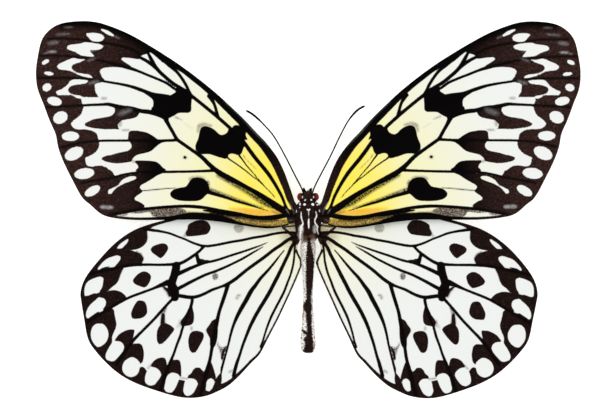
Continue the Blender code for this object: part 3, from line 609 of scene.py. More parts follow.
# The outlines of the hindwing's black patches
HINDWING_PATCHES = (
    ((22, -11.25), (23.2, -11.1), (24.3, -10.9), (24.8, -12.2), (23.1, -12)),
    ((21.9, -4), (22.3, -3.06), (23.1, -2.4), (24.6, -2.35), (25.8, -2.75), (26.8, -3.4), (26.9, -4.3),
     (27.2, -4.8), (27.4, -5.3), (27.1, -5.8), (26.3, -5.9), (24.7, -5.73), (23.1, -5.5), (22.4, -5.1)),
    ((31.2, -8.6), (31.5, -7.8), (32.4, -7.5), (33.4, -7.7), (34.6, -8.2), (35.1, -8.9), (34.8, -9.5),
     (33.8, -10.2), (32.9, -10.8), (32.3, -10.4), (31.6, -9.5)),
    ((35, -14.8), (35.7, -14.06), (36.7, -13.8), (37.8, -14.3), (38.7, -15.2), (39.1, -15.9), (38.7, -16.6),
     (37.3, -17.2), (36.3, -17.35), (35.6, -16.7), (35.2, -15.9)),
    ((35.7, -23.1), (35.7, -22.1), (36.06, -20.9), (36.7, -20.4), (37.8, -20.4), (38.4, -21.2),
     (38.9, -22.2), (39.2, -23.2), (38.9, -24.3), (37.8, -24.35), (36.6, -24.1)),
    ((29.6, -26.5), (30.3, -25.8), (31.3, -25.3), (32.3, -25.2), (32.8, -25.8), (33.3, -26.8), (33.4, -28),
     (33.3, -29.2), (32.8, -29.9), (32.15, -29.7), (31, -28.5), (29.95, -27.15)),
    ((23.2, -27.8), (23.4, -27.3), (24.3, -26.9), (25.5, -26.9), (26.1, -27.3), (26.5, -28.5),
     (26.5, -29.9), (26.2, -31.2), (25.7, -31.7), (25, -31.6), (24.1, -30.1), (23.4, -28.7)),
    ((25.6, -20.5), (25.8, -21.5), (25.5, -22.7), (25.4, -24.1), (25.6, -25.1), (26, -25.5), (27.4, -25.8),
     (28, -25.8), (28.3, -24.9), (28, -24.3), (27.2, -23.2), (26.5, -21.7)),
    ((20.1, -23.6), (20.8, -24.2), (21.5, -24.6), (22, -25.5), (22.7, -26.6), (22.2, -27.8), (21.85, -28.6),
     (21.8, -30.2), (21, -30.5), (20.5, -29.5), (20.25, -28), (20.2, -26)),
    ((35.95, -4.2), (35.9, -5.1), (35.85, -6.5), (36.1, -7.3), (36.8, -8.1), (38, -8.75), (39, -8.95),
     (40.3, -9.15), (42.2, -9), (41.2, -8.2), (40.3, -7.4), (39.9, -6.6), (40.2, -6.1), (38.5, -4.9)),
    ((40.4, -9.1), (39.2, -9.25), (38.3, -9.5), (37.6, -9.85), (37, -10.4), (36.7, -11), (37.1, -11.8),
     (37.2, -12.4), (40.2, -12.8), (43.5, -13.3), (43, -12.3), (42.3, -11.5), (42.1, -10.6), (43.3, -10.1),
     (42.5, -8.9)),
    ((41.2, -12.8), (41.4, -13.2), (41.8, -13.9), (42.2, -15), (42.5, -16), (43, -16.8), (43.8, -17.4),
     (44.4, -18), (45, -18.45), (46.6, -18.6), (46.1, -17.6), (45.9, -16.1), (46, -15.3), (47, -14.9),
     (48.5, -15.3), (48, -13.8), (44.2, -13)),
    ((19.3, -36.2), (20.4, -37.4), (20.6, -38.6), (19.3, -38.4)),
    ((40.5, -19.9), (40.9, -19.2), (41.7, -18.6), (43, -18.2), (44.3, -18.3), (45.2, -18.6), (46.6, -19),
     (46.4, -19.8), (45.5, -20), (45, -20.7), (45.1, -21.7), (45.6, -22.5), (43.8, -22.2), (42, -21.1)),
    ((43.4, -22.3), (43, -23.3), (42.75, -24.3), (42.45, -25.5), (42.6, -26.5), (43.1, -27.7),
     (43.35, -28.5), (43.3, -29.5), (43.8, -30.3), (45.5, -32.5), (46.3, -30.6), (44.9, -29.7),
     (44.3, -28.7), (44.2, -27.5), (44.5, -26.6), (45.2, -25.7), (46.3, -25.4), (48, -26), (48.5, -24.5),
     (46, -22.9)),
    ((38.35, -27.15), (38.4, -26.8), (39.6, -26.8), (40.6, -27.15), (41.7, -27.8), (42.3, -28.5),
     (42.7, -29.2), (41.7, -29.3), (41, -29.65), (40.6, -30.4), (40.8, -31.4), (42, -32.9), (44, -35),
     (41, -36.5), (41, -35), (40.6, -33.9), (40, -33.3), (39.1, -32.8), (38.3, -32.85), (37.4, -33.55),
     (37, -34.3), (36.5, -33.8), (36.2, -32.4), (36.3, -31.2), (36.6, -30.2), (37.1, -29.8), (38.1, -29.8),
     (38.8, -29.9), (38.6, -28.5)),
    ((36.4, -34.9), (36.9, -34.9), (37.1, -35.6), (37.6, -36.5), (38.2, -37.2), (36.6, -38.8), (36, -38),
     (35.9, -37), (35.7, -36.1), (35.9, -35.3)),
    ((31.3, -33.8), (31.7, -32.9), (32.7, -32.9), (33.5, -33.2), (34.2, -33.8), (34.7, -34.8), (34, -35.05),
     (33, -35.5), (32.6, -36.4), (32.7, -37.6), (32.1, -38.5), (31.2, -35.8)),
    ((28.15, -37), (28.1, -35.6), (28.2, -34.3), (28.5, -33.4), (29.4, -33.3), (29.9, -33.4), (30.6, -34.2),
     (31.4, -35.5), (32.3, -38.5), (31.9, -39.5), (31.6, -38.2), (31.3, -37.2), (30.8, -36.5), (30, -36.15),
     (29, -36.4), (28.5, -37)),
    ((22.9, -36.3), (23.5, -35.6), (24, -35.05), (25, -35.05), (25.5, -35.5), (25.9, -36.3), (26.6, -36.8),
     (26.7, -37.4), (25.5, -37.45), (24.8, -37.85), (24.5, -38.5), (24.6, -40.5), (22.9, -40.5),
     (22.8, -38)),
    ((21.6, -33.75), (22.1, -34), (22.6, -35), (23.2, -36.2), (23.4, -38.5), (22.9, -40), (22.65, -38.8),
     (22.3, -37.8), (21.8, -37.35), (21.2, -37.4), (20.7, -38.2), (20.5, -37.1), (20.8, -35.9),
     (21.2, -34.6)),
    ((2, -4.6), (3, -4.9), (4, -5.4), (4.4, -6.2), (4.1, -7), (3.5, -7.6), (2.6, -7.6), (2, -6.4)),
)


def hindwing_dark() -> list[Mark]:
    """The black bands and patches of the hindwing."""
    return [
        *map(Stroke, HINDWING_STROKES),
        *map(Patch, HINDWING_PATCHES),
    ]


def hindwing_light() -> list[Mark]:
    """The white marks along the hindwing's black rim."""
    return [*map(Patch, HINDWING_RIM_SPOTS)]


def hindwing_soft() -> list[SoftMark]:
    """The grey shadings of the hindwing."""
    return [
        *soft_spots(Shade.HALF, 0.12, (15.8, -4.05, 1.1, 1.05)),
        *soft_spots(Shade.DEEP, 0.2, (20.95, -14.75, 0.62, 0.8)),
        *soft_spots(Shade.HALF, 0.25, (15.9, -18.95, 0.5, 0.28), (16.25, -19.5, 0.35, 0.38),
                    (25.9, -26.3, 0.25, 0.5), (17.1, -35.8, 0.6, 0.3, -30)),
        *soft_spots(Shade.HALF, 0.3, (28.3, -25.2, 0.4, 0.8)),
        *soft_spots(Shade.FAINT, 0.3, (28.8, -25.8, 0.3, 0.6, 25)),
        SoftMark(Patch(((18.2, -30.1), (19, -30.5), (19.9, -30.1), (20.1, -29.3), (20.3, -29.8),
                        (19.8, -31), (19.4, -32.3), (19.1, -33.5), (18.9, -34.3), (18.7, -33),
                        (18.45, -31.5)), 0.4), Shade.DEEP, 0.25),
        SoftMark(Patch(((21.9, -25.4), (22.3, -25.9), (22.8, -26.8), (22.3, -27.6),
                        (21.8, -28.2))), Shade.DEEP, 0.2),
        SoftMark(Patch(((26.8, -4), (27.2, -4.6), (27.6, -5.4), (28, -6), (27.3, -6.1),
                        (26.8, -5.6))), Shade.HALF, 0.25),
        *soft_lines(Shade.DEEP, 0.25, ((31.5, -21.8, 0.4), (32.15, -23.3, 0.8), (32.1, -25.2, 1.2))),
        *soft_lines(Shade.DEEP, 0.3, ((32, -17.5, 0.5), (31.3, -18.2, 0.6), (30.8, -19.2, 0.6))),
        *soft_lines(Shade.DEEP, 0.2,
                    ((36, -5.2, 0.5), (35.95, -6.2, 0.5), (36.2, -7.1, 0.4)),
                    ((38.3, -9.4, 0.4), (37.3, -10, 0.5), (36.9, -10.8, 0.5), (37, -11.6, 0.3)),
                    ((41.6, -13.3, 0.4), (42.2, -14.6, 0.4), (42.5, -15.8, 0.3)),
                    ((45, -18.6, 0.4), (45.4, -19.4, 0.5))),
        *soft_lines(Shade.FAINT, 0.3, ((19.3, -35.7, 0.2), (19.6, -38, 0.3))),
        *soft_lines(Shade.HALF, 0.25, ((34.6, -34.4, 0.4), (35.3, -35.2, 0.4))),
        *soft_lines(Shade.HALF, 0.2, ((26.8, -37.5, 0.4), (28.2, -37.3, 0.4))),
    ]


@dataclass(frozen=True)
class Nudge:
    """A gentle push of one region of a wing, because the two sides never grow quite alike."""

    out: float
    fore: float
    reach: float
    push_out: float
    push_fore: float

    def shift(self, at: np.ndarray) -> np.ndarray:
        """How far in mm each place moves."""
        share = np.exp(-((at[:, 0] - self.out) ** 2 + (at[:, 1] - self.fore) ** 2) / self.reach ** 2)
        return share[:, None] * (self.push_out, self.push_fore)


# How the left wings' patterns are pushed away from the right wings'
FOREWING_NUDGES = (
    Nudge(35, 0, 80, -0.22, 0), Nudge(24, 25, 17, 0.3, -0.22), Nudge(54, 35, 9, 0.12, 0.18),
    Nudge(57, 15, 9, -0.08, -0.15), Nudge(28, -1.5, 7, -0.35, 0), Nudge(7, 9, 8, 0.18, 0),
    Nudge(42, -2, 7, 0, -0.15),
)
HINDWING_NUDGES = (
    Nudge(35, 0, 80, -0.22, 0), Nudge(12, -21, 9, -0.3, 0), Nudge(7, -14, 8, -0.2, 0),
    Nudge(12, -7, 13, -0.33, -0.08), Nudge(47, -11, 9, -0.6, 0.05), Nudge(44, -20, 9, -0.05, 0.32),
    Nudge(38, -31, 11, 0.28, 0.1), Nudge(13, -35, 6, 0.22, 0.1), Nudge(30, -40, 7, 0, 0.1),
)


@dataclass
class Wing:
    """One pair of wings: a thin arched membrane with raised veins and a painted pattern.

    The middle surface is the solids' own: it rises from the root and droops towards the tip and the edges.
    """

    name: str
    margin: Points
    veins: dict[str, Points]
    dark: Drawing
    light: Drawing
    ink: Drawing
    soft: Shading
    ash: Shading
    left_nudges: Sequence[Nudge]
    warmth: Tint
    gold: Tint
    brown: Tint
    lowered: float
    fineness: float = 0.27
    fringe: float = 0.1
    light_growth: float = 0.05
    thickness: float = 0.16
    edge_thickness: float = 0.1
    vein_height: float = 0.11
    sag: float = 0.1
    root_up: float = 10.8
    root_out: float = 3.0
    rise: float = 0.095
    span: float = 57.0
    span_droop: float = 1.5
    chord: float = 41.0
    chord_droop: float = 1.2
    rim_clearance: float = 0.45
    edge_reach: float = 1.2

    def middle(self, at: np.ndarray) -> np.ndarray:
        """Height in mm of the middle surface over each place."""
        away = at[:, 0] - self.root_out
        arch = self.span_droop * (away / self.span) ** 2 + self.chord_droop * (at[:, 1] / self.chord) ** 2
        return self.root_up - self.lowered + self.rise * away - arch

    def drawn(self, at: np.ndarray) -> np.ndarray:
        """Where each place shows on the flat drawing that the marks were laid out on.

        The drawing is the view from straight above, where the higher places spread a little outwards.
        """
        wider = EYE_ABOVE / (EYE_ABOVE + WING_UP - self.middle(at))
        return np.column_stack((at[:, 0] * wider, (at[:, 1] - EYE_FORE) * wider + DRAWING_FORE))

    def plan(self) -> tuple[np.ndarray, list[list[int]]]:
        """A fine flat net inside the outline.

        Returns:
            The places of its points and the corners of its triangles.
        """
        rim = smooth_line(self.margin, self.fineness, closed=True)
        along = np.roll(rim, -1, axis=0) - np.roll(rim, 1, axis=0)
        outward = np.column_stack((-along[:, 1], along[:, 0])) / np.linalg.norm(along, axis=1)[:, None]
        rim = rim + outward * self.fringe
        low, high = rim.min(0), rim.max(0)
        row_step = self.fineness * math.sqrt(3) / 2
        rows = []
        for i, fore in enumerate(np.arange(low[1], high[1], row_step)):
            shift = self.fineness / 2 * (i % 2)
            outs = np.arange(low[0] + shift, high[0], self.fineness)
            rows.append(np.column_stack((outs, np.full(len(outs), fore))))
        grid = np.vstack(rows)
        from_rim = Patch(tuple(map(tuple, rim)), spacing=FAR).distance(grid)
        inner = grid[from_rim < -self.rim_clearance * self.fineness]
        points = [Vector(row) for row in np.vstack((rim, inner))]
        loop = [list(range(len(rim)))]
        flat, _, faces, *_ = delaunay_2d_cdt(points, [], loop, 1, 1e-5)
        return np.array([tuple(point) for point in flat]), faces

    def masks(self, at: np.ndarray, veins: np.ndarray) -> dict[str, np.ndarray]:
        """The pattern's masks over each place, by attribute name.

        Args:
            at: The places, each a row of out and fore.
            veins: How far each place lies from the nearest vein.

        Returns:
            A row of numbers for each attribute.
        """
        at = self.drawn(at)
        dark = np.minimum(nearest(self.dark(), at), veins - VEIN_GROWTH)
        dark = np.maximum(dark, self.light_growth - nearest(self.light(), at))
        dark = np.minimum(dark, nearest(self.ink(), at))
        return {
            "dark": dark,
            "soft": soft_cover(self.soft(), at),
            "ash": soft_cover(self.ash(), at),
            "warmth": self.warmth(at),
            "gold": self.gold(at),
            "brown": self.brown(at) * (0.15 + 0.85 * step_between(-0.05, 0.3, veins)),
        }

    def build(self, material: Material) -> None:
        """Makes the left and the right wing, each in place of its solid."""
        at, faces = self.plan()
        veins = nearest([Stroke(vein) for vein in self.veins.values()], self.drawn(at))
        masks = self.masks(at, veins)
        ridge = self.vein_height * (1 - step_between(-0.35, 0.12, veins))
        pleat = self.sag * step_between(0.2, 2.4, veins)
        rim = Patch(self.margin, spacing=self.fineness).distance(at) - self.fringe
        firm = step_between(0.0, -self.edge_reach, rim)
        half = self.edge_thickness / 2 + (self.thickness - self.edge_thickness) / 2 * firm
        middle = self.middle(at) - pleat * step_between(0.0, -1.5, rim)
        for name, side in SIDES.items():
            spots = at + sum(nudge.shift(at) for nudge in self.left_nudges) if side == LEFT else at
            self._shell(f"{self.name}_{name}", side, spots, faces, middle, half + ridge, masks, material)

    def _shell(self, node: str, side: int, at: np.ndarray, faces: list[list[int]], middle: np.ndarray,
               half: np.ndarray, masks: dict[str, np.ndarray], material: Material) -> None:
        """Closes the net's upper and lower skins into one wing and gives it its masks."""
        count = len(at)
        upper = np.column_stack((side * at[:, 0], -at[:, 1], middle + half)) * MM
        lower = np.column_stack((side * at[:, 0], -at[:, 1], middle - half)) * MM
        turned = [corners[::-1] for corners in faces]
        top, bottom = (turned, faces) if side == LEFT else (faces, turned)
        uses: dict[tuple[int, int], int] = {}
        for corners in top:
            for start, end in zip(corners, corners[1:] + corners[:1]):
                uses[(start, end)] = uses.get((start, end), 0) + 1
        rim = [(start, end) for start, end in uses if (end, start) not in uses]
        walls = [(end, start, start + count, end + count) for start, end in rim]
        below = [[corner + count for corner in corners] for corners in bottom]
        mesh = bpy.data.meshes.new(node)
        mesh.from_pydata(np.vstack((upper, lower)).tolist(), [], [*top, *below, *walls])
        for mask, values in masks.items():
            set_mask(mesh, mask, np.tile(values, 2))
        add_piece(f"{node}_dressed", mesh, material, self.name, node)


def forewing_warmth(at: np.ndarray) -> np.ndarray:
    """How yellow the forewing is: bright in the cell's root half and fading outwards."""
    reach = np.hypot(at[:, 0], at[:, 1] - 2.0)
    fade = np.interp(reach, (6.0, 14.0, 19.0, 24.0, 30.0, 36.0, 44.0, 50.0),
                     (1.0, 0.95, 0.75, 0.5, 0.36, 0.24, 0.12, 0.05))
    amber = Stroke(((6.5, -0.5, 0.7), (10.0, -0.7, 1.3), (14.0, -0.3, 1.2), (17.5, 0.2, 0.5)))
    return fade + 0.55 * step_between(0.5, -0.3, amber.distance(at))


def forewing_gold(at: np.ndarray) -> np.ndarray:
    """How golden brown the forewing is, along its hind fold near the root."""
    fold = Stroke(((3.6, -2.4, 0.8), (7.0, -2.9, 1.5), (12.0, -2.9, 1.6), (16.0, -2.0, 1.5),
                   (20.0, -1.2, 1.2), (24.0, -0.85, 0.6), (27.5, -0.6, 0.4)))
    return step_between(0.3, -0.3, fold.distance(at))


def forewing_brown(at: np.ndarray) -> np.ndarray:
    """How far the forewing's black turns brown, most at the tip and the outer edge."""
    front = Stroke(tuple((out, fore, 0.0) for out, fore in FOREWING_MARGIN if fore > 31 and out < 55))
    outward = np.interp(at[:, 0], (3.0, 7.0, 10.0, 34.0, 40.0, 48.0, 60.0),
                        (0.6, 0.25, 0.0, 0.0, 0.55, 0.9, 1.0))
    return outward * step_between(0.5, 2.8, front.distance(at))


def hindwing_warmth(at: np.ndarray) -> np.ndarray:
    """How creamy the hindwing is, most towards its root and inner edge."""
    reach = np.hypot(at[:, 0] - 2.0, at[:, 1] + 6.0)
    return np.interp(reach, (3.0, 10.0, 18.0, 28.0, 45.0), (0.36, 0.24, 0.13, 0.03, 0.0))


def hindwing_gold(at: np.ndarray) -> np.ndarray:
    """How golden brown the hindwing is, only at its root."""
    return 0.5 * step_between(5.0, 1.5, np.hypot(at[:, 0] - 3.0, at[:, 1] + 5.5))


def hindwing_brown(at: np.ndarray) -> np.ndarray:
    """How far the hindwing's black turns brown."""
    return np.interp(at[:, 0], (3.0, 8.0, 20.0), (0.7, 0.45, 0.35))


def nothing() -> list:
    """No marks at all."""
    return []


class Nodes:
    """A short way to write the nodes of one tree."""

    def __init__(self, tree: NodeTree) -> None:
        """Keeps the tree that the nodes go into."""
        self.tree = tree

    def feed(self, node: Node, **inputs: object) -> Node:
        """Fills a node's sockets.

        Args:
            node: The node.
            **inputs: Its sockets by name, or by place as i0, i1 and so on, each a value or another socket.

        Returns:
            The same node.
        """
        for key, value in inputs.items():
            name = int(key[1:]) if key[0] == "i" and key[1:].isdigit() else key.replace("_", " ")
            socket = node.inputs[name]
            if isinstance(value, NodeSocket):
                self.tree.links.new(value, socket)
            else:
                socket.default_value = value
        return node

    def add(self, kind: str, settings: dict | None = None, **inputs: object) -> Node:
        """Adds a node of a kind with its own options, and fills its sockets."""
        node = self.tree.nodes.new(kind)
        for key, value in (settings or {}).items():
            setattr(node, key, value)
        return self.feed(node, **inputs)

    def vector(self, operation: str, first: object, **inputs: object) -> NodeSocket:
        """The result of a sum of vectors."""
        return self.add("ShaderNodeVectorMath", {"operation": operation}, i0=first, **inputs).outputs[0]

    def named(self, name: str, kind: str) -> NodeSocket:
        """A value that the geometry carries."""
        return self.add("GeometryNodeInputNamedAttribute", {"data_type": kind}, Name=name).outputs[0]

    def math(self, operation: str, *values: object) -> NodeSocket:
        """The result of a sum of one to three values."""
        inputs = {f"i{place}": value for place, value in enumerate(values)}
        return self.add("ShaderNodeMath", {"operation": operation}, **inputs).outputs[0]

    def mask(self, name: str) -> NodeSocket:
        """A mask that the mesh carries."""
        return self.add("ShaderNodeAttribute", {"attribute_name": name}).outputs["Fac"]

    def patchy(self, name: str, share: NodeSocket) -> NodeSocket:
        """A mask that the mesh carries, thinned by a share."""
        return self.math("MULTIPLY", self.mask(name), share)

    def frayed(self, name: str, size: float, detail: float, reach: object) -> NodeSocket:
        """A distance that the mesh carries, with edges that wander by noise of a size in mm."""
        wander = self.math("SUBTRACT", self.noise(size, detail), 0.5)
        return self.math("MULTIPLY_ADD", wander, reach, self.mask(name))

    def ramp(self, value: object, low: float, high: float, start: float = 0.0,
             end: float = 1.0) -> NodeSocket:
        """A smooth change from start to end as a value goes from low to high."""
        settings = {"interpolation_type": "SMOOTHSTEP"}
        return self.add("ShaderNodeMapRange", settings, Value=value, From_Min=low, From_Max=high,
                        To_Min=start, To_Max=end).outputs[0]

    def blend(self, share: object, first: object, second: object) -> NodeSocket:
        """A colour between two others."""
        first, second = [(*c, 1.0) if isinstance(c, tuple) else c for c in (first, second)]
        return self.add("ShaderNodeMix", {"data_type": "RGBA"}, i0=share, i6=first, i7=second).outputs[2]

    def noise(self, size: float, detail: float = 2.0) -> NodeSocket:
        """Noise whose grains are about size mm across."""
        where = self.add("ShaderNodeTexCoord").outputs["Object"]
        made = self.add("ShaderNodeTexNoise", Vector=where, Scale=1 / (size * MM), Detail=detail)
        return made.outputs["Fac"]

    def grain(self, cell: float, mottle: float) -> tuple[NodeSocket, NodeSocket]:
        """Small cells and a slow mottling, each so many mm across."""
        group = self.add("ShaderNodeGroup", {"node_tree": grain_group()}, Cell_size=cell, Mottle_size=mottle)
        return group.outputs["Cells"], group.outputs["Mottle"]

    def bump(self, height: NodeSocket, strength: float, depth: float) -> NodeSocket:
        """The turn that a relief of so many mm gives the surface."""
        return self.add("ShaderNodeBump", Strength=strength, Distance=depth * MM, Height=height).outputs[0]


def new_tree(name: str, kind: str, inputs: dict[str, str],
             outputs: dict[str, str]) -> tuple[Nodes, Node, Node]:
    """Starts a node tree.

    Args:
        name: The tree's name.
        kind: The kind of tree.
        inputs: The kind of socket for each named input.
        outputs: The kind of socket for each named output.

    Returns:
        The tree's node writer and its first and last nodes.
    """
    tree = bpy.data.node_groups.new(name, kind)
    for way, sockets in (("INPUT", inputs), ("OUTPUT", outputs)):
        for key, socket in sockets.items():
            tree.interface.new_socket(key, in_out=way, socket_type=f"NodeSocket{socket}")
    nodes = Nodes(tree)
    return nodes, nodes.add("NodeGroupInput"), nodes.add("NodeGroupOutput")


@cache
def grain_group() -> NodeTree:
    """A grain of small cells with a slow mottling: wing scales, cuticle pores, eye facets and dust."""
    nodes, start, end = new_tree("grain", "ShaderNodeTree", {"Cell size": "Float", "Mottle size": "Float"},
                                 {"Cells": "Float", "Mottle": "Float"})
    where = nodes.add("ShaderNodeTexCoord").outputs["Object"]
    scale = nodes.math("DIVIDE", 1 / MM, start.outputs["Cell size"])
    cells = nodes.add("ShaderNodeTexVoronoi", Vector=where, Scale=scale).outputs["Distance"]
    wide = nodes.math("DIVIDE", 1 / MM, start.outputs["Mottle size"])
    mottle = nodes.add("ShaderNodeTexNoise", Vector=where, Scale=wide, Detail=3.0).outputs["Fac"]
    nodes.feed(end, Cells=nodes.math("SUBTRACT", 1.0, cells), Mottle=mottle)
    return nodes.tree


@dataclass(frozen=True)
class WingFinish:
    """White scales with black veins, yellow near the root and brown towards the tip."""

    name: str = "wing_scales"
    white: Colour = (0.745, 0.76, 0.745)
    cream: Colour = (0.79, 0.765, 0.43)
    yellow: Colour = (0.86, 0.73, 0.07)
    black: Colour = (0.0012, 0.0008, 0.0008)
    brown: Colour = (0.03, 0.0112, 0.0082)
    amber: Colour = (0.78, 0.42, 0.03)
    gold: Colour = (0.34, 0.2, 0.06)
    grey: Colour = (0.065, 0.038, 0.034)
    pale: Colour = (0.42, 0.4, 0.4)
    cloud: Colour = (0.74, 0.76, 0.77)
    fleck: Colour = (0.06, 0.028, 0.012)
    dusk: Colour = (0.02, 0.01, 0.004)

    def material(self) -> Material:
        """Builds the wings' material from the masks on their meshes."""
        made, nodes, shader = new_material(self.name)
        cells, mottle = nodes.grain(0.14, 0.5)
        warmth = nodes.mask("warmth")
        ground = nodes.blend(nodes.ramp(warmth, 0.0, 0.6), self.white, self.cream)
        ground = nodes.blend(nodes.ramp(warmth, 0.45, 1.05), ground, self.yellow)
        ground = nodes.blend(nodes.ramp(warmth, 1.0, 1.6), ground, self.amber)
        ground = nodes.blend(nodes.ramp(nodes.noise(1.6), 0.35, 0.75, 0.0, 0.1), ground, self.cloud)
        ground = nodes.blend(nodes.patchy("gold", nodes.ramp(mottle, 0.3, 0.7, 0.6, 1.0)), ground, self.gold)
        fleck = nodes.ramp(nodes.noise(0.22, 3.0), 0.46, 0.58, 0.0, 0.85)
        ground = nodes.blend(nodes.patchy("gold", fleck), ground, self.fleck)
        dusk = nodes.blend(nodes.ramp(warmth, 0.3, 0.9), self.grey, self.dusk)
        streak = nodes.ramp(nodes.noise(0.26, 3.0), 0.36, 0.64, 0.68, 1.22)
        ground = nodes.blend(nodes.patchy("soft", streak), ground, dusk)
        tan = nodes.ramp(mottle, 0.25, 0.75, 0.4, 1.2)
        ink = nodes.blend(nodes.patchy("brown", tan), self.black, self.brown)
        speck = nodes.ramp(nodes.noise(0.22), 0.52, 0.75, 0.0, 0.12)
        ink = nodes.blend(nodes.patchy("brown", speck), ink, self.pale)
        ink = nodes.blend(nodes.patchy("ash", nodes.ramp(mottle, 0.3, 0.7, 0.5, 1.0)), ink, self.pale)
        fray = nodes.ramp(nodes.mask("brown"), 0.2, 1.0, 0.16, 0.42)
        cover = nodes.ramp(nodes.frayed("dark", 0.2, 2.0, fray), 0.115, -0.045)
        nodes.feed(shader, Base_Color=nodes.blend(cover, ground, ink),
                   Roughness=nodes.ramp(cover, 0.0, 1.0, 0.62, 0.5), Normal=nodes.bump(cells, 0.25, 0.03),
                   Specular_IOR_Level=0.015)
        return made


def new_material(name: str) -> tuple[Material, Nodes, Node]:
    """A fresh material with its node writer and its shader."""
    made = bpy.data.materials.new(name)
    made.use_nodes = True
    return made, Nodes(made.node_tree), made.node_tree.nodes["Principled BSDF"]


@dataclass(frozen=True)
class CuticleFinish:
    """Insect cuticle: a mottled colour with fine pores and a soft gloss."""

    name: str
    base: Colour
    second: Colour
    roughness: float = 0.5
    cell: float = 0.08
    depth: float = 0.015
    gloss: float = 0.15

    def material(self) -> Material:
        """Builds the cuticle's material."""
        made, nodes, shader = new_material(self.name)
        cells, mottle = nodes.grain(self.cell, 0.6)
        nodes.feed(shader, Base_Color=nodes.blend(nodes.ramp(mottle, 0.35, 0.7), self.base, self.second),
                   Roughness=nodes.ramp(mottle, 0.3, 0.7, self.roughness - 0.08, self.roughness + 0.1),
                   Normal=nodes.bump(cells, 0.5, self.depth), Specular_IOR_Level=self.gloss)
        return made


# The finishes of the small parts of the head
FEELER_FINISH = CuticleFinish("feeler", (0.001, 0.001, 0.001), (0.006, 0.004, 0.003), 0.6, gloss=0.04)
PALP_FINISH = CuticleFinish("palp_bristle", (0.002, 0.001, 0.001), (0.012, 0.006, 0.004), 0.65, gloss=0.04)
TONGUE_FINISH = CuticleFinish("tongue", (0.03, 0.014, 0.008), (0.07, 0.03, 0.016), 0.35)


@dataclass(frozen=True)
class EyeFinish:
    """A dark red compound eye with fine facets and a painted highlight."""

    name: str = "compound_eye"
    red: Colour = (0.17, 0.008, 0.005)
    deep: Colour = (0.008, 0.002, 0.002)
    # A painted highlight: the colour of the glint laid on each eye
    pale: Colour = (0.62, 0.66, 0.6)
    facet: float = 0.06

    def material(self) -> Material:
        """Builds the eye's material, darker towards the head's midline, with a painted highlight where the
        pale mask lies.
        """
        made, nodes, shader = new_material(self.name)
        cells, mottle = nodes.grain(self.facet, 0.5)
        glow = nodes.blend(nodes.ramp(mottle, 0.35, 0.65, 0.0, 0.45), self.red, self.deep)
        tone = nodes.blend(nodes.mask("inner"), glow, self.deep)
        # The pale mask lays the painted highlight over the eye's colour
        nodes.feed(shader, Base_Color=nodes.blend(nodes.mask("pale"), tone, self.pale), Roughness=0.28,
                   Normal=nodes.bump(cells, 0.5, 0.02), Specular_IOR_Level=0.06, Coat_Weight=0.04,
                   Coat_Roughness=0.1)
        return made


@dataclass(frozen=True)
class BodyFinish:
    """Brown-black scales with white lines and dots, and the grey-white flanks of the abdomen.

    The skin and its coat read the same masks, so both carry the same markings.
    """

    name: str
    depth: float = 0.03
    black: Colour = (0.006, 0.002, 0.0015)
    brown: Colour = (0.04, 0.01, 0.005)
    white: Colour = (0.88, 0.87, 0.84)
    ash: Colour = (0.7, 0.67, 0.6)
    tan: Colour = (0.25, 0.125, 0.06)
    line: Colour = (0.93, 0.93, 0.9)

    def material(self) -> Material:
        """Builds the body's material from the masks on its meshes."""
        made, nodes, shader = new_material(self.name)
        cells, mottle = nodes.grain(0.09, 0.45)
        dark = nodes.blend(nodes.ramp(mottle, 0.45, 0.72), self.black, self.brown)
        flank = nodes.blend(nodes.ramp(mottle, 0.3, 0.62), self.ash, self.white)
        flank = nodes.blend(nodes.ramp(nodes.noise(0.32, 3.0), 0.54, 0.62, 0.0, 0.85), flank, self.brown)
        tone = nodes.blend(nodes.mask("flank"), dark, flank)
        tone = nodes.blend(nodes.patchy("tan", nodes.ramp(mottle, 0.3, 0.6, 0.5, 1.0)), tone, self.tan)
        tone = nodes.blend(nodes.ramp(nodes.frayed("pale", 0.15, 1.0, 0.2), 0.07, -0.06), tone, self.line)
        tone = nodes.blend(nodes.ramp(nodes.frayed("stripe", 0.28, 2.0, 1.1), 0.1, -0.12), tone, dark)
        nodes.feed(shader, Base_Color=tone, Roughness=nodes.ramp(mottle, 0.3, 0.7, 0.5, 0.75),
                   Normal=nodes.bump(cells, 0.6, self.depth), Specular_IOR_Level=0.08)
        return made


def add_piece(name: str, mesh: Mesh, material: Material, slot: str, *nodes: str) -> Object:
    """Places a finished mesh in the scene as a piece of the butterfly.

    Args:
        name: The piece's name.
        mesh: Its mesh, with its place in it.
        material: Its finish.
        slot: The record's slot that the finish belongs to. Not used.
        *nodes: The solids that it stands for.

    Returns:
        The piece.
    """
    mesh.name = name
    mesh.shade_smooth()
    mesh.materials.clear()
    mesh.materials.append(material)
    piece = bpy.data.objects.new(name, mesh)
    bpy.context.scene.collection.objects.link(piece)
    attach(piece, BODY)
    if nodes:
        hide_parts(*nodes)
    LOG.info("%s: %d faces", name, len(mesh.polygons))
    return piece


def set_mask(mesh: Mesh, name: str, values: np.ndarray) -> None:
    """Stores a number for each of a mesh's points."""
    mesh.attributes.new(name, "FLOAT", "POINT").data.foreach_set("value", values.astype(np.float32))


def closed_mesh(shape: bmesh.types.BMesh) -> Mesh:
    """Turns a closed shape into a mesh with every face outward."""
    bmesh.ops.recalc_face_normals(shape, faces=shape.faces)
    mesh = bpy.data.meshes.new("closed")
    shape.to_mesh(mesh)
    shape.free()
    return mesh


def merged(parts: Iterable[Mesh]) -> Mesh:
    """Joins closed meshes in one, with every face outward."""
    shape = bmesh.new()
    for part in parts:
        shape.from_mesh(part)
    return closed_mesh(shape)


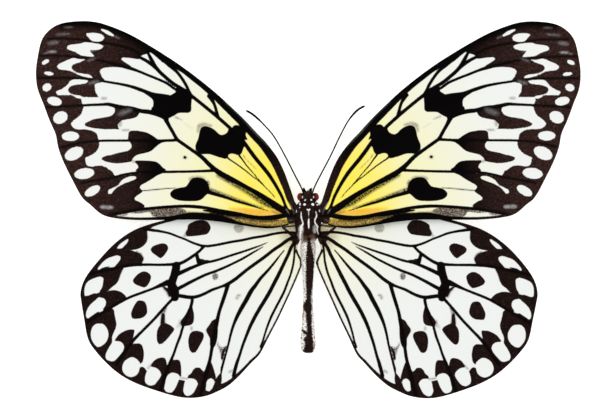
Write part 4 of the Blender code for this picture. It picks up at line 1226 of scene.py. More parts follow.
def net_mesh(rings: np.ndarray) -> Mesh:
    """A closed skin over rings of points in metres, with a fan over each end."""
    count, around, _ = rings.shape
    points = rings.reshape(-1, 3)
    ends = rings[[0, -1]].mean(axis=1)
    corners = []
    for i in range(count - 1):
        for k in range(around):
            j = (k + 1) % around
            corners.append((i * around + k, i * around + j, (i + 1) * around + j, (i + 1) * around + k))
    first, last, start = count * around, count * around + 1, (count - 1) * around
    for k in range(around):
        j = (k + 1) % around
        corners.append((first, j, k))
        corners.append((last, start + k, start + j))
    rough = bpy.data.meshes.new("rough")
    rough.from_pydata(np.vstack((points, ends)).tolist(), [], corners)
    mesh = merged([rough])
    bpy.data.meshes.remove(rough)
    return mesh


def run_tree(tree: NodeTree, base: Mesh, **inputs: object) -> Mesh:
    """Runs a Geometry Nodes tree over a mesh and turns what it makes into a plain mesh.

    Args:
        tree: The tree.
        base: The mesh that it starts from.
        **inputs: The tree's inputs, by name.

    Returns:
        The new mesh.
    """
    holder = bpy.data.objects.new("maker", base)
    bpy.context.scene.collection.objects.link(holder)
    modifier = holder.modifiers.new("maker", "NODES")
    modifier.node_group = tree
    sockets = {item.name: item.identifier for item in tree.interface.items_tree}
    for name, value in inputs.items():
        modifier[sockets[name]] = value
    bpy.context.view_layer.update()
    mesh = bpy.data.meshes.new_from_object(holder.evaluated_get(bpy.context.evaluated_depsgraph_get()))
    bpy.data.objects.remove(holder)
    return mesh


def maker_tree(name: str, inputs: dict[str, str]) -> tuple[Nodes, Node, Node]:
    """Starts a Geometry Nodes tree with named inputs beside its geometry and material."""
    sockets = {"Geometry": "Geometry", **inputs, "Material": "Material"}
    return new_tree(name, "GeometryNodeTree", sockets, {"Result": "Geometry"})


def end_maker(nodes: Nodes, start: Node, end: Node, made: Node) -> NodeTree:
    """Ends a Geometry Nodes tree in plain geometry with its material on it."""
    real = nodes.add("GeometryNodeRealizeInstances", Geometry=made.outputs[0])
    dressed = nodes.add("GeometryNodeSetMaterial", Geometry=real.outputs[0],
                        Material=start.outputs["Material"])
    nodes.feed(end, Result=dressed.outputs[0])
    return nodes.tree


@cache
def tube_tree() -> NodeTree:
    """The tree that sweeps a ring along a line, as wide as the line's girth says."""
    nodes, start, end = maker_tree("tube", {"Sides": "Int"})
    line = nodes.add("GeometryNodeMeshToCurve", Mesh=start.outputs["Geometry"])
    ring = nodes.add("GeometryNodeCurvePrimitiveCircle", Resolution=start.outputs["Sides"], Radius=1.0)
    swept = nodes.add("GeometryNodeCurveToMesh", Curve=line.outputs[0], Profile_Curve=ring.outputs[0],
                      Scale=nodes.named("girth", "FLOAT"), Fill_Caps=True)
    return end_maker(nodes, start, end, swept)


def tube(line: np.ndarray, sides: int, material: Material) -> Mesh:
    """A closed tube along a line.

    Args:
        line: Rows of x, y, z and radius, in metres.
        sides: How many points each ring has.
        material: Its finish.

    Returns:
        The tube, which says along its length which way hair on it lies.
    """
    spine = bpy.data.meshes.new("spine")
    spine.from_pydata(line[:, :3].tolist(), [(i, i + 1) for i in range(len(line) - 1)], [])
    set_mask(spine, "girth", line[:, 3])
    along = np.gradient(line[:, :3], axis=0)
    set_lie(spine, along / np.linalg.norm(along, axis=1)[:, None])
    return run_tree(tube_tree(), spine, Sides=sides, Material=material)


@cache
def hair_tree() -> NodeTree:
    """The tree that sows tufts over a skin where its growth says, laid the way that its lie says."""
    sizes = dict.fromkeys(("Density", "Length", "Lift", "Stray"), "Float")
    nodes, start, end = maker_tree("hair", {**sizes, "Seed": "Int", "Tuft": "Object"})
    growth, seed = nodes.named("growth", "FLOAT"), start.outputs["Seed"]
    scatter = nodes.add("GeometryNodeDistributePointsOnFaces", Mesh=start.outputs["Geometry"], Seed=seed,
                        Density=nodes.math("MULTIPLY", growth, start.outputs["Density"]))
    where = nodes.add("GeometryNodeInputPosition").outputs[0]
    kept = nodes.add("GeometryNodeStoreNamedAttribute", {"data_type": "FLOAT_VECTOR", "domain": "POINT"},
                     Geometry=scatter.outputs["Points"], Name="root", Value=where)
    wild = nodes.add("FunctionNodeRandomValue", {"data_type": "FLOAT_VECTOR"}, i0=(-1.0, -0.3, -1.0),
                     i1=(1.0, 0.3, 1.0), Seed=seed)
    stray = nodes.vector("SCALE", wild.outputs[0], Scale=start.outputs["Stray"])
    lifted = nodes.vector("SCALE", scatter.outputs["Normal"], Scale=start.outputs["Lift"])
    lie = nodes.vector("ADD", nodes.named("lie", "FLOAT_VECTOR"), i1=stray)
    raised = nodes.add("FunctionNodeAlignRotationToVector", {"axis": "Z"},
                       Vector=nodes.vector("ADD", lie, i1=lifted))
    turned = nodes.add("FunctionNodeAlignRotationToVector", {"axis": "Y", "pivot_axis": "Z"},
                       Rotation=raised.outputs[0], Vector=scatter.outputs["Normal"])
    vary = nodes.add("FunctionNodeRandomValue", {"data_type": "FLOAT"}, i2=0.6, i3=1.25, Seed=seed)
    size = nodes.math("MULTIPLY", vary.outputs[1], start.outputs["Length"])
    size = nodes.math("MULTIPLY", size, nodes.math("MULTIPLY_ADD", growth, 0.6, 0.4))
    shape = nodes.add("GeometryNodeObjectInfo", Object=start.outputs["Tuft"])
    spread = nodes.add("GeometryNodeInstanceOnPoints", Points=kept.outputs[0], Scale=size,
                       Instance=shape.outputs["Geometry"], Rotation=turned.outputs[0])
    return end_maker(nodes, start, end, spread)


@dataclass(frozen=True)
class Hair:
    """Short tapered tufts of one kind, in mm."""

    length: float
    width: float
    density: float
    lift: float = 0.5
    stray: float = 0.2
    seed: int = 7

    def tuft(self) -> Object:
        """One flat tapered tuft, a unit long, rising from its root."""
        shape = bmesh.new()
        width = self.width / self.length
        rings = []
        for rise, wide, lean in ((-0.08, 1.0, 0.0), (0.45, 0.8, 0.05), (0.8, 0.45, 0.14)):
            rings.append([shape.verts.new((x * wide * width, y * wide * width * 0.5 + lean, rise))
                          for x, y in ((-0.5, 0.0), (0.5, 0.0), (0.0, 1.0))])
        tip = shape.verts.new((0.0, 0.26, 1.0))
        for low, high in zip(rings, rings[1:]):
            for k in range(3):
                j = (k + 1) % 3
                shape.faces.new((low[k], low[j], high[j], high[k]))
        for k in range(3):
            shape.faces.new((rings[-1][k], rings[-1][(k + 1) % 3], tip))
        shape.faces.new(rings[0])
        return bpy.data.objects.new("tuft", closed_mesh(shape))

    def sow(self, skin: Mesh, material: Material) -> Mesh:
        """Grows the tufts over a skin.

        Args:
            skin: A mesh with its growth and its lie.
            material: The tufts' finish.

        Returns:
            The tufts alone, each with its root's place.
        """
        tuft = self.tuft()
        bpy.context.scene.collection.objects.link(tuft)
        mesh = run_tree(hair_tree(), skin, Density=self.density / MM ** 2, Length=self.length * MM,
                        Lift=self.lift, Stray=self.stray, Seed=self.seed, Tuft=tuft, Material=material)
        bpy.data.objects.remove(tuft)
        return mesh


def set_lie(mesh: Mesh, ways: np.ndarray) -> None:
    """Stores the way that hair lies at each of a mesh's points."""
    layer = mesh.attributes.new("lie", "FLOAT_VECTOR", "POINT")
    layer.data.foreach_set("vector", ways.astype(np.float32).ravel())


def in_mm(data: bpy.types.bpy_prop_collection, key: str) -> np.ndarray:
    """The vectors that a mesh's data keep under a key, in mm."""
    values = np.empty(len(data) * 3, dtype=np.float32)
    data.foreach_get(key, values)
    return values.reshape(-1, 3) / MM


def limb_line(side: int, route: Points, spacing: float) -> np.ndarray:
    """A smooth line in metres, with its radius, through places given as out, fore, up and radius."""
    line = smooth_line([(side * out, -fore, up, radius) for out, fore, up, radius in route], spacing)
    return line * MM


# The body's rings, inside the solids by the coat: fore, half width, half height, middle above the floor
BODY_RINGS = (
    (4.32, 0.45, 0.4, 9.1), (4.22, 0.78, 0.75, 9.15), (3.9, 1.08, 1.12, 9.2), (3.3, 1.3, 1.45, 9.3),
    (2.8, 1.42, 1.55, 9.35), (2.35, 1.5, 1.35, 9.4), (2.05, 1.75, 1.3, 9.4), (1.75, 2.1, 1.5, 9.4),
    (1.4, 2.35, 1.85, 9.4), (0.8, 2.62, 2.25, 9.45), (-0.4, 2.82, 2.75, 9.5), (-1.8, 2.88, 2.93, 9.5),
    (-3.4, 2.84, 2.85, 9.45), (-4.9, 2.6, 2.45, 9.4), (-6, 2.1, 1.95, 9.3), (-6.6, 1.62, 1.5, 9.2),
    (-6.95, 1.45, 1.4, 9.2), (-7.7, 1.68, 1.6, 9.2), (-8.9, 1.7, 1.66, 9.2), (-11, 1.5, 1.52, 9.17),
    (-13.2, 1.3, 1.38, 9.12), (-18.2, 1.04, 1.14, 8.93), (-22.4, 1.2, 1.22, 8.7), (-26, 1.48, 1.36, 8.45),
    (-29, 1.68, 1.42, 8.24), (-30.6, 1.55, 1.3, 8), (-31.4, 1.1, 0.95, 7.93), (-31.65, 0.6, 0.5, 7.9),
)
# The body's swellings, alike on both sides: out, fore, reach across, reach along, height
BODY_SWELLINGS = (
    (0, 0.9, 1.2, 0.5, 0.1), (1.1, 1.1, 0.7, 0.45, 0.14), (2.35, -0.3, 0.5, 1.1, 0.22),
    (0, -5.4, 1, 0.55, 0.2), (0, -2.4, 0.16, 2.2, -0.08), (1.2, -2.6, 0.35, 2.4, 0.06),
    (0.75, 2.5, 0.5, 0.35, 0.1), (0.85, 3.35, 0.3, 0.3, 0.16),
)


def body_pale() -> list[Mark]:
    """The white lines and dots on the back, in plan, with out positive to the animal's right."""
    return [
        Spot(-0.76, 1.35, 0.27, 0.24), Spot(1.06, 1.35, 0.32, 0.26, -20), Spot(-1.78, 1.4, 0.15, 0.3),
        Spot(2.1, 1.3, 0.2, 0.16), Spot(-0.62, 2.32, 0.2, 0.14, 20), Spot(0.72, 2.35, 0.2, 0.14, -20),
        Spot(1.75, 1.8, 0.12, 0.1), Spot(-1.85, 0.65, 0.14, 0.12),
        Stroke(((-0.15, 0.25, 0.3), (0.12, 0.1, 0.34), (0.4, 0.25, 0.3)), 0.1),
        *(Stroke(line, 0.3) for line in (
            ((0.12, 0.1, 0.2), (0.12, -1.4, 0.1)),
            ((0.14, -1.8, 0.2), (0.14, -2.6, 0.36), (0.16, -3.8, 0.26)),
            ((-1.5, -0.3, 0.16), (-1.5, -1.4, 0.26), (-1.3, -2.2, 0.24), (-1.1, -2.9, 0.3),
             (-1.5, -3.6, 0.4), (-1.6, -4.6, 0.42), (-1.7, -5.4, 0.36), (-1.75, -7, 0.3)),
            ((1.75, -0.3, 0.16), (1.9, -1.2, 0.26), (1.5, -2.1, 0.24), (1.6, -2.8, 0.26), (2.1, -3.5, 0.3),
             (2, -4.3, 0.22), (2.3, -5.2, 0.16)),
            ((2.6, 0.9, 0.24), (2.6, 0.3, 0.26), (2.5, -0.2, 0.16)),
            ((-2.75, 0.8, 0.14), (-2.6, 0.1, 0.18), (-2.5, -0.4, 0.12)))),
    ]


def body_side_pale() -> list[Mark]:
    """The white dots down the flanks, by degrees from the back's midline and fore."""
    return [Spot(turn, fore, long, 0.3) for turn, fore, long in (
        (95, 0.2, 9), (105, -1.4, 8), (98, -3, 9), (120, -0.6, 8), (128, -2.4, 9), (118, -4.3, 8),
        (142, -1.4, 8), (146, -3.6, 8), (100, -5.2, 8), (110, 3, 12), (140, 2.7, 12))]


def body_stripe() -> list[Mark]:
    """The black stripe down the back of the abdomen, with out positive to the animal's right."""
    return [Spot(-1.05, -20.3, 0.12, 0.12), Spot(-0.65, -27, 0.5, 0.45), Spot(-1.2, -26.6, 0.25, 0.3),
            Spot(-0.55, -28.6, 0.45, 0.6), Spot(-1.5, -28.3, 0.15, 0.2), Spot(-0.6, -31, 0.6, 0.4),
            Stroke(((0.2, -6.2, 0.7), (0.3, -7.5, 0.9), (0.35, -9, 1.4), (0.45, -10.8, 1.85),
                    (0.45, -13, 1.95), (0.38, -15.5, 1.75), (0.25, -17.6, 1.4), (0.1, -20, 1.2),
                    (-0.1, -21.3, 2.1), (0.1, -22.5, 1.4), (0.25, -25, 1.25), (0.3, -27, 1.3),
                    (0.2, -29.5, 2), (0.1, -31.8, 2.3)), 0.4)]


def body_shoulders() -> list[SoftMark]:
    """The grey-white shadings beside the waist."""
    return [
        *soft_spots(Shade.DEEP, 0.4, (-1.75, -6.4, 0.6, 1.6), (1.3, -7.2, 0.9, 0.8)),
        *soft_spots(Shade.DEEP, 0.25, (-1.55, -4.2, 0.5, 1.0)),
        *soft_spots(Shade.HALF, 0.25, (1.5, -4.1, 0.4, 0.9)),
    ]


def body_tan() -> list[SoftMark]:
    """The tan shadings beside the waist and along the abdomen."""
    return [
        *soft_spots(Shade.FULL, 0.3, (-1.15, -23.1, 0.3, 0.7)),
        *soft_spots(Shade.DEEP, 0.2, (1.05, -19.9, 0.2, 0.6), (-1.65, -28.0, 0.2, 0.4)),
        *soft_spots(Shade.DEEP, 0.3, (1.45, -30.0, 0.35, 0.7)),
        *soft_spots(Shade.FAINT, 0.5, (-1.75, -8.8, 0.7, 2.2), (1.5, -8.8, 0.5, 1.8)),
        *soft_spots(Shade.DEEP, 0.4, (-1.75, -5.9, 0.5, 1.5)),
        *soft_spots(Shade.HALF, 0.4, (1.2, -7.0, 0.8, 0.6), (0.9, -5.9, 0.7, 0.5), (-0.7, -6.1, 0.7, 0.5)),
    ]


@dataclass
class Body:
    """Head, thorax and abdomen under one skin, with a short coat lying back along it."""

    ring_step: float = 0.13
    around: int = 96
    segments: int = 8
    groove: float = 0.09
    seam_reach: float = 0.16
    abdomen_start: float = -6.9
    abdomen_end: float = -31.8
    back_turn: float = 88.0
    belly_turn: float = 150.0
    hair: Hair = Hair(length=0.3, width=0.05, density=26.0, lift=0.55, stray=0.35)
    middle_up: float = 9.0
    unwrap_border: float = 0.02
    patch: float = 0.003

    def profile(self) -> np.ndarray:
        """The rings' fore, half width, half height and middle, closely spaced."""
        rough = smooth_line([(0.0, *ring) for ring in BODY_RINGS], 0.05)
        order = np.argsort(-rough[:, 1])
        fore = np.arange(BODY_RINGS[0][0], BODY_RINGS[-1][0], -self.ring_step)
        rows = [np.interp(-fore, -rough[order, 1], rough[order, column]) for column in (2, 3, 4)]
        return np.column_stack((fore, *rows))

    def skin(self, material: Material) -> Object:
        """Makes the one skin that stands for head, thorax and abdomen."""
        profile = self.profile()
        turns = np.linspace(0, 2 * math.pi, self.around, endpoint=False)
        fore = np.repeat(profile[:, :1], self.around, axis=1)
        x = profile[:, 1:2] * np.sin(turns)
        z = profile[:, 2:3] * np.cos(turns)
        swell = np.zeros_like(x)
        for out, at, across, along, height in BODY_SWELLINGS:
            for side in SIDES.values() if out else (LEFT,):
                bulge = np.exp(-((x + side * out) / across) ** 2 - ((fore - at) / along) ** 2)
                swell += height * bulge * (np.cos(turns) > 0.05)
        share = (fore - self.abdomen_start) / (self.abdomen_end - self.abdomen_start) * self.segments
        joint = np.abs(share - np.round(share)) * abs(self.abdomen_end - self.abdomen_start) / self.segments
        inner = (share > 0.5) & (share < self.segments - 0.5)
        swell -= self.groove * np.exp(-(joint / self.seam_reach) ** 2) * inner
        reach = np.hypot(x, z)
        x, z = x * (1 + swell / reach), z * (1 + swell / reach)
        rings = np.stack((x, -fore, z + profile[:, 3:4]), axis=2) * MM
        mesh = net_mesh(rings)
        points = np.array([vertex.co[:] for vertex in mesh.vertices]) / MM
        self._paint(mesh, points)
        return add_piece("body_skin", mesh, material, "thorax", "head", "thorax", "abdomen")

    def _paint(self, mesh: Mesh, points: np.ndarray) -> None:
        """Gives the skin its markings and says where the coat grows."""
        plan = np.column_stack((-points[:, 0], -points[:, 1]))
        fore = plan[:, 1]
        middle = np.interp(-fore, [-ring[0] for ring in BODY_RINGS], [ring[3] for ring in BODY_RINGS])
        turn = np.degrees(np.abs(np.arctan2(points[:, 0], points[:, 2] - middle)))
        above = turn < self.back_turn
        pale = np.where(above, nearest(body_pale(), plan), FAR)
        flat = np.column_stack((turn, fore))
        sides = np.minimum.reduce([_dot_distance(dot, flat) for dot in body_side_pale()])
        pale = np.minimum(pale, sides)
        rear = step_between(-6.3, -7.6, fore)
        shoulder = soft_cover(body_shoulders(), plan) * above
        tan = soft_cover(body_tan(), plan) * above
        stripe = np.where(above, nearest(body_stripe(), plan), FAR)
        under = (turn > self.belly_turn) & (fore < -8.0)
        below = np.where(under, (180 - turn) / (180 - self.belly_turn) - 0.35, FAR)
        set_mask(mesh, "pale", pale)
        set_mask(mesh, "stripe", np.minimum(stripe, below))
        set_mask(mesh, "flank", np.maximum(rear, shoulder))
        set_mask(mesh, "tan", tan)
        sockets = np.exp(-((np.abs(points[:, 0]) - 1.55) / 0.8) ** 2 - ((fore - 3.0) / 0.9) ** 2)
        growth = np.interp(-fore, (-4.2, -3.2, -1.9, 0.0, 6.0, 8.0, 30.0, 31.8),
                           (0.5, 0.6, 0.9, 1.0, 1.0, 0.75, 0.7, 0.9))
        set_mask(mesh, "growth", np.clip(growth - 1.2 * sockets, 0.0, 1.0))
        set_lie(mesh, np.tile((0.0, 1.0, -0.05), (len(points), 1)))

    def coat(self, skin: Object, material: Material) -> None:
        """Grows the coat over the skin and unwraps it, a small patch for each tuft."""
        mesh = self.hair.sow(skin.data.copy(), material)
        self._unwrap(mesh)
        add_piece("body_coat", mesh, material, "thorax")

    def _unwrap(self, mesh: Mesh) -> None:
        """Gives each tuft its patch, at its root's place on the body's own unwrap."""
        roots = in_mm(mesh.attributes["root"].data, "vector")
        away = in_mm(mesh.vertices, "co") - roots
        long = BODY_RINGS[0][0] - BODY_RINGS[-1][0]
        along = (BODY_RINGS[0][0] + roots[:, 1]) / long
        around = np.arctan2(roots[:, 0], roots[:, 2] - self.middle_up) / (2 * math.pi) + 0.5
        spots = np.column_stack((along, around)) * (1 - 2 * self.unwrap_border) + self.unwrap_border
        local = np.column_stack((away[:, 0], away[:, 2])) / self.hair.length
        spots += np.clip(local, -1.0, 1.0) * self.patch / 2
        corners = np.empty(len(mesh.loops), dtype=np.int32)
        mesh.loops.foreach_get("vertex_index", corners)
        layer = mesh.uv_layers.new(name="OFBake")
        layer.data.foreach_set("uv", spots[corners].astype(np.float32).ravel())
        mesh.attributes.remove(mesh.attributes["root"])


def _dot_distance(dot: Spot, flat: np.ndarray) -> np.ndarray:
    """Distance in mm from a dot whose width is in degrees round the body."""
    ratio = np.hypot((flat[:, 0] - dot.out) / dot.long, (flat[:, 1] - dot.fore) / dot.short)
    return (ratio - 1) * dot.short


@dataclass
class HeadParts:
    """The eyes, feelers, palps and coiled tongue, each in place of its solid."""

    eye_at: tuple[float, float, float] = (1.62, 3.0, 9.45)
    eye_radii: tuple[float, float, float] = (0.82, 0.95, 1.2)
    eye_sides: int = 64
    # Where the painted highlight lies on the unit eye, and its half sizes
    eye_glint: tuple[float, float] = (-0.5, 0.05)
    eye_glint_radii: tuple[float, float] = (0.17, 0.3)
    feeler_radius: float = 0.17
    club_radius: float = 0.25
    ring_length: float = 0.34
    ring_depth: float = 0.14
    feeler_sides: int = 14
    palp_sides: int = 20
    tongue_sides: int = 16
    bristles: Hair = Hair(length=0.22, width=0.05, density=34.0, lift=0.5, stray=0.15, seed=11)
    tongue_radius: float = 0.17
    coil_fore: float = 3.35
    coil_up: float = 6.35
    coil_reach: float = 1.2
    coil_pitch: float = 0.62
    coil_turns: float = 1.4
    coil_steps: int = 90

    FEELERS = {
        "left": ((0.85, 3.2, 9.9), (1.5, 5.1, 10.6), (3.05, 8.1, 11.5), (4.93, 11.8, 12.6), (7.5, 16.3, 13.9),
                 (10.0, 19.2, 14.8), (12.1, 21.1, 15.3), (13.7, 22.05, 15.5)),
        "right": ((0.85, 3.2, 9.9), (1.4, 5.1, 10.6), (2.9, 8.1, 11.5), (4.9, 11.9, 12.6), (7.0, 16.3, 13.9),
                  (8.9, 19.8, 14.8), (10.9, 22.1, 15.3), (12.6, 23.05, 15.5)),
    }
    PALP_SHIFTS = {"left": 0.12, "right": -0.18}
    PALP = ((0.5, 3.6, 8.4, 0.24), (0.64, 4.1, 8.3, 0.32), (0.76, 4.45, 8.6, 0.34), (0.82, 4.7, 9.1, 0.25),
            (0.86, 4.92, 9.6, 0.07))

    def eyes(self, material: Material) -> None:
        """Makes both eyes, darker towards the midline, each with a painted highlight high on its inner side.
        """
        for name, side in SIDES.items():
            shape = bmesh.new()
            sides = self.eye_sides
            bmesh.ops.create_uvsphere(shape, u_segments=sides, v_segments=sides // 2, radius=1.0)
            centre = place(side, *self.eye_at)
            inner, pale = [], []
            for vertex in shape.verts:
                x, y, z = vertex.co
                inner.append(float(step_between(0.3, -0.3, np.float64(side * x))))
                # The pale mask is a painted highlight, high on the eye's inner side
                away = math.hypot((x * side - self.eye_glint[0]) / self.eye_glint_radii[0],
                                  (y - self.eye_glint[1]) / self.eye_glint_radii[1])
                pale.append(float(step_between(1.2, 0.8, np.float64(away if z > 0 else FAR))))
                wide, long, high = self.eye_radii
                vertex.co = centre + Vector((x * wide, y * long, z * high)) * MM
            mesh = closed_mesh(shape)
            set_mask(mesh, "inner", np.array(inner))
            set_mask(mesh, "pale", np.array(pale))
            add_piece(f"eye_{name}_dressed", mesh, material, "eye", f"eye_{name}")

    def feelers(self, material: Material) -> None:
        """Makes both feelers, ringed all along and thicker in the club."""
        for name, side in SIDES.items():
            line = limb_line(side, [(*point, 1.0) for point in self.FEELERS[name]], self.ring_length / 8)
            steps = np.linalg.norm(np.diff(line[:, :3], axis=0), axis=1)
            run = np.concatenate(([0.0], np.cumsum(steps))) / MM
            left = run[-1] - run
            club = self.feeler_radius + (self.club_radius - self.feeler_radius) * step_between(5.5, 2.5, left)
            tip = np.sqrt(np.clip(left / 0.5, 0.02, 1.0))
            rings = 1 + self.ring_depth * (np.abs(np.sin(math.pi * run / self.ring_length)) - 0.5)
            base = 1 + 0.7 * np.exp(-(run / 0.35) ** 2)
            line[:, 3] = club * tip * rings * base * MM
            mesh = merged([tube(line, self.feeler_sides, material)])
            add_piece(f"antenna_{name}_dressed", mesh, material, "antenna", f"antenna_{name}")

    def palps(self, material: Material) -> None:
        """Makes both palps, bristling with short stiff hairs."""
        for name, side in SIDES.items():
            shift = self.PALP_SHIFTS[name]
            line = limb_line(side, [(out + shift, fore, up, radius) for out, fore, up, radius in self.PALP],
                             0.06)
            skin = tube(line, self.palp_sides, material)
            set_mask(skin, "growth", np.ones(len(skin.vertices)))
            mesh = merged([skin, self.bristles.sow(skin.copy(), material)])
            add_piece(f"palp_{name}_dressed", mesh, material, "palp", f"palp_{name}")

    def tongue(self, material: Material) -> None:
        """Makes the tongue: down from the mouth and round in a shrinking coil."""
        fore, up = self.coil_fore, self.coil_up
        route = [(0.0, -(fore + 0.55), up + 2.3, 1.0), (0.0, -(fore + 0.95), up + 1.5, 1.0)]
        for i in range(self.coil_steps + 1):
            turned = 2 * math.pi * self.coil_turns * i / self.coil_steps
            reach = self.coil_reach - self.coil_pitch * turned / (2 * math.pi)
            angle = math.radians(25) - turned
            route.append((0.0, -(fore + reach * math.cos(angle)), up + reach * math.sin(angle), 1.0))
        line = smooth_line(route, 0.05)
        line[:, 3] = self.tongue_radius * np.interp(np.arange(len(line)), (0, len(line) - 1), (1.05, 0.7))
        line[:, 3] *= 1 + 0.04 * np.sin(np.arange(len(line)) * 1.1)
        mesh = merged([tube(line * MM, self.tongue_sides, material)])
        add_piece("proboscis_dressed", mesh, material, "proboscis", "proboscis")


@dataclass
class Legs:
    """Three pairs of legs: the small folded forelegs and the four that stand on the floor."""

    sides: int = 16
    spacing: float = 0.12
    clearance: float = 0.01
    spined_up: tuple[float, float] = (0.25, 6.8)
    spined_out: float = 5.0
    white_up: tuple[float, float] = (6.0, 7.0)
    claw_length: float = 0.5
    claw_radius: float = 0.06
    claw_tip_radius: float = 0.012
    claw_bend: float = 0.16
    claw_arch: float = 0.05
    claw_root: float = 0.08
    claw_steps: int = 6
    claw_sides: int = 8
    spines: Hair = Hair(length=0.26, width=0.06, density=8.0, lift=0.7, stray=0.1, seed=5)

    ROUTES = {
        "foreleg": ((0.8, 0.7, 7.3, 0.3), (1.1, 1.3, 6.7, 0.27), (1.35, 2.3, 6.3, 0.2),
                    (1.4, 2.6, 5.9, 0.16), (1.3, 2.2, 5.5, 0.14), (1.1, 1.1, 5.45, 0.08)),
        "midleg": ((0.9, -1.0, 7.1, 0.42), (1.5, -0.9, 6.0, 0.38), (2.0, -0.7, 6.0, 0.3),
                   (3.2, -0.1, 6.6, 0.34), (4.6, 0.7, 7.3, 0.27), (5.3, 1.1, 7.5, 0.2),
                   (5.9, 1.5, 7.2, 0.2), (6.9, 2.9, 4.2, 0.21), (7.8, 4.2, 1.1, 0.18),
                   (8.2, 4.8, 0.42, 0.15), (8.7, 5.5, 0.2, 0.14), (9.9, 7.2, 0.16, 0.12)),
        "hindleg": ((0.9, -4.0, 7.1, 0.42), (1.5, -4.2, 6.0, 0.38), (2.0, -4.5, 6.0, 0.3),
                    (3.1, -5.3, 6.6, 0.34), (4.3, -6.4, 7.2, 0.27), (4.9, -6.9, 7.4, 0.2),
                    (5.4, -7.4, 7.1, 0.2), (6.7, -9.1, 4.2, 0.21), (8.0, -10.7, 1.1, 0.18),
                    (8.4, -11.3, 0.42, 0.15), (8.9, -12.0, 0.2, 0.14), (10.2, -13.8, 0.16, 0.12)),
    }

    def build(self, material: Material) -> None:
        """Makes all six legs with their spines and claws."""
        for kind, route in self.ROUTES.items():
            for name, side in SIDES.items():
                line = limb_line(side, route, self.spacing)
                standing = kind != "foreleg"
                if standing:
                    line[:, 2] = np.maximum(line[:, 2], line[:, 3] + self.clearance * MM)
                skin = tube(line, self.sides, material)
                parts = [skin]
                if standing:
                    out, _, up = np.abs(in_mm(skin.vertices, "co")).T
                    shin = (up > self.spined_up[0]) & (up < self.spined_up[1]) & (out > self.spined_out)
                    set_mask(skin, "growth", shin.astype(float))
                    parts += [self.spines.sow(skin.copy(), material), *self._claws(line, material)]
                mesh = merged(parts)
                up = in_mm(mesh.vertices, "co")[:, 2]
                white = (up > self.white_up[0]) & (up < self.white_up[1])
                set_mask(mesh, "pale", np.where(white, 0.06, FAR))
                for mask, value in (("stripe", FAR), ("flank", 0.0), ("tan", 0.0)):
                    set_mask(mesh, mask, np.full(len(up), value))
                add_piece(f"{kind}_{name}_dressed", mesh, material, "leg", f"{kind}_{name}")

    def _claws(self, line: np.ndarray, material: Material) -> list[Mesh]:
        """Makes the two hooked claws at the end of a foot."""
        claws = []
        along = Vector(line[-1, :3] - line[-4, :3]).normalized()
        across = along.cross(Vector((0.0, 0.0, 1.0))).normalized()
        end = Vector(line[-1, :3])
        for turn in (1, -1):
            route = []
            for step in range(self.claw_steps + 1):
                share = step / self.claw_steps
                bend = turn * self.claw_bend * math.sin(math.pi * share * 0.7)
                reach = along * share * self.claw_length + across * bend
                lift = Vector((0.0, 0.0, self.claw_arch * math.sin(math.pi * share)))
                centre = end + (reach + lift) * MM - along * self.claw_root * MM
                radius = max(self.claw_tip_radius, self.claw_radius * (1 - share)) * MM
                route.append((*centre, radius))
            claw = np.array(route)
            claw[:, 2] = np.maximum(claw[:, 2], claw[:, 3] + self.clearance * MM)
            claws.append(tube(claw, self.claw_sides, material))
        return claws


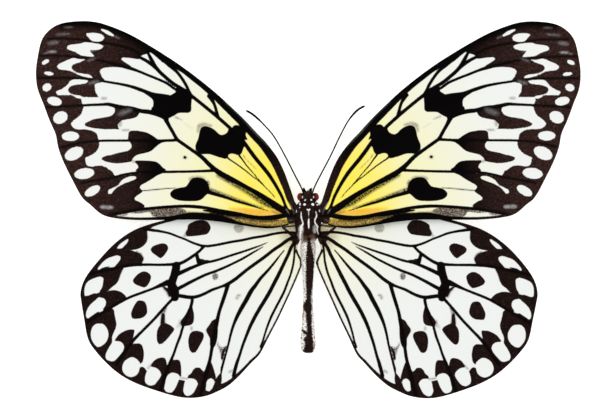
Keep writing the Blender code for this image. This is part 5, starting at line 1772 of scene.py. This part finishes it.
@dataclass
class Studio:
    """The pale floor, the soft lights and the camera straight above."""

    frame_pixels: tuple[int, int] = (612, 417)
    pixel_mm: float = 0.221
    aim_px: tuple[float, float] = (306.0, 207.5)
    middle_px: tuple[float, float] = (308.0, 209.5)
    sensor: float = 36.0
    floor_size: float = 1600.0

    LAMPS = (("key", (0.35, -0.45, 0.8), 3.2, 0.7), ("fill", (-0.5, 0.3, 0.7), 1.4, 0.8))

    def build(self) -> None:
        """Makes the floor, the lights and the camera."""
        self._floor()
        self._lights()
        self._camera()
        scene = bpy.context.scene
        scene.view_settings.view_transform = "Standard"
        scene.view_settings.look = "None"

    def _floor(self) -> None:
        """A white sheet under the feet."""
        mesh = bpy.data.meshes.new("floor")
        half = self.floor_size * MM / 2
        mesh.from_pydata([(-half, -half, 0), (half, -half, 0), (half, half, 0), (-half, half, 0)], [],
                         [(0, 1, 2, 3)])
        made, nodes, shader = new_material("white_sheet")
        tone = nodes.blend(nodes.noise(40.0), (0.93, 0.93, 0.93), (0.95, 0.95, 0.95))
        nodes.feed(shader, Base_Color=tone, Roughness=0.9, Emission_Color=(1.0, 1.0, 1.0, 1.0),
                   Emission_Strength=0.45)
        mesh.materials.append(made)
        floor = bpy.data.objects.new("floor", mesh)
        bpy.context.scene.collection.objects.link(floor)

    def _lights(self) -> None:
        """A bright even sky and one large soft lamp from the upper left."""
        world = bpy.data.worlds.new("studio")
        world.use_nodes = True
        sky = world.node_tree.nodes["Background"]
        Nodes(world.node_tree).feed(sky, Color=(1.0, 1.0, 1.0, 1.0), Strength=0.85)
        bpy.context.scene.world = world
        for name, at, power, size in self.LAMPS:
            lamp = bpy.data.lights.new(name, "AREA")
            lamp.energy = power
            lamp.size = size
            holder = bpy.data.objects.new(name, lamp)
            holder.location = at
            holder.rotation_euler = (-Vector(at)).to_track_quat("-Z", "Y").to_euler()
            bpy.context.scene.collection.objects.link(holder)

    def _camera(self) -> None:
        """A long lens that looks straight down with the head at the top of the frame."""
        camera = bpy.data.cameras.new("camera")
        camera.sensor_width = self.sensor
        camera.lens = self.sensor * EYE_ABOVE / (self.frame_pixels[0] * self.pixel_mm)
        camera.clip_end = 10.0
        holder = bpy.data.objects.new("camera", camera)
        across = (self.middle_px[0] - self.aim_px[0]) * self.pixel_mm
        fore = (self.middle_px[1] - self.aim_px[1]) * self.pixel_mm
        holder.location = place(LEFT, across, fore, WING_UP + EYE_ABOVE)
        holder.rotation_euler = (0.0, 0.0, math.pi)
        bpy.context.scene.collection.objects.link(holder)
        bpy.context.scene.camera = holder


def main() -> None:
    """Dresses the butterfly and sets it in the studio."""
    logging.basicConfig(level=logging.INFO, format="%(name)s: %(message)s")
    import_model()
    scales = WingFinish().material()
    Wing("forewing", margin=FOREWING_MARGIN, veins=FOREWING_VEINS, left_nudges=FOREWING_NUDGES, lowered=0.0,
         dark=forewing_dark, light=forewing_light, ink=forewing_ink, soft=forewing_soft, ash=forewing_ash,
         warmth=forewing_warmth, gold=forewing_gold, brown=forewing_brown).build(scales)
    Wing("hindwing", margin=HINDWING_MARGIN, veins=HINDWING_VEINS, left_nudges=HINDWING_NUDGES, lowered=1.2,
         dark=hindwing_dark, light=hindwing_light, ink=nothing, soft=hindwing_soft, ash=nothing,
         warmth=hindwing_warmth, gold=hindwing_gold, brown=hindwing_brown).build(scales)
    body = Body()
    skin = body.skin(BodyFinish("body_scales").material())
    body.coat(skin, BodyFinish("body_hair", 0.01).material())
    head = HeadParts()
    head.eyes(EyeFinish().material())
    head.feelers(FEELER_FINISH.material())
    head.palps(PALP_FINISH.material())
    head.tongue(TONGUE_FINISH.material())
    Legs().build(BodyFinish("leg_scales", 0.012).material())
    Studio().build()


if __name__ == "__main__":
    main()
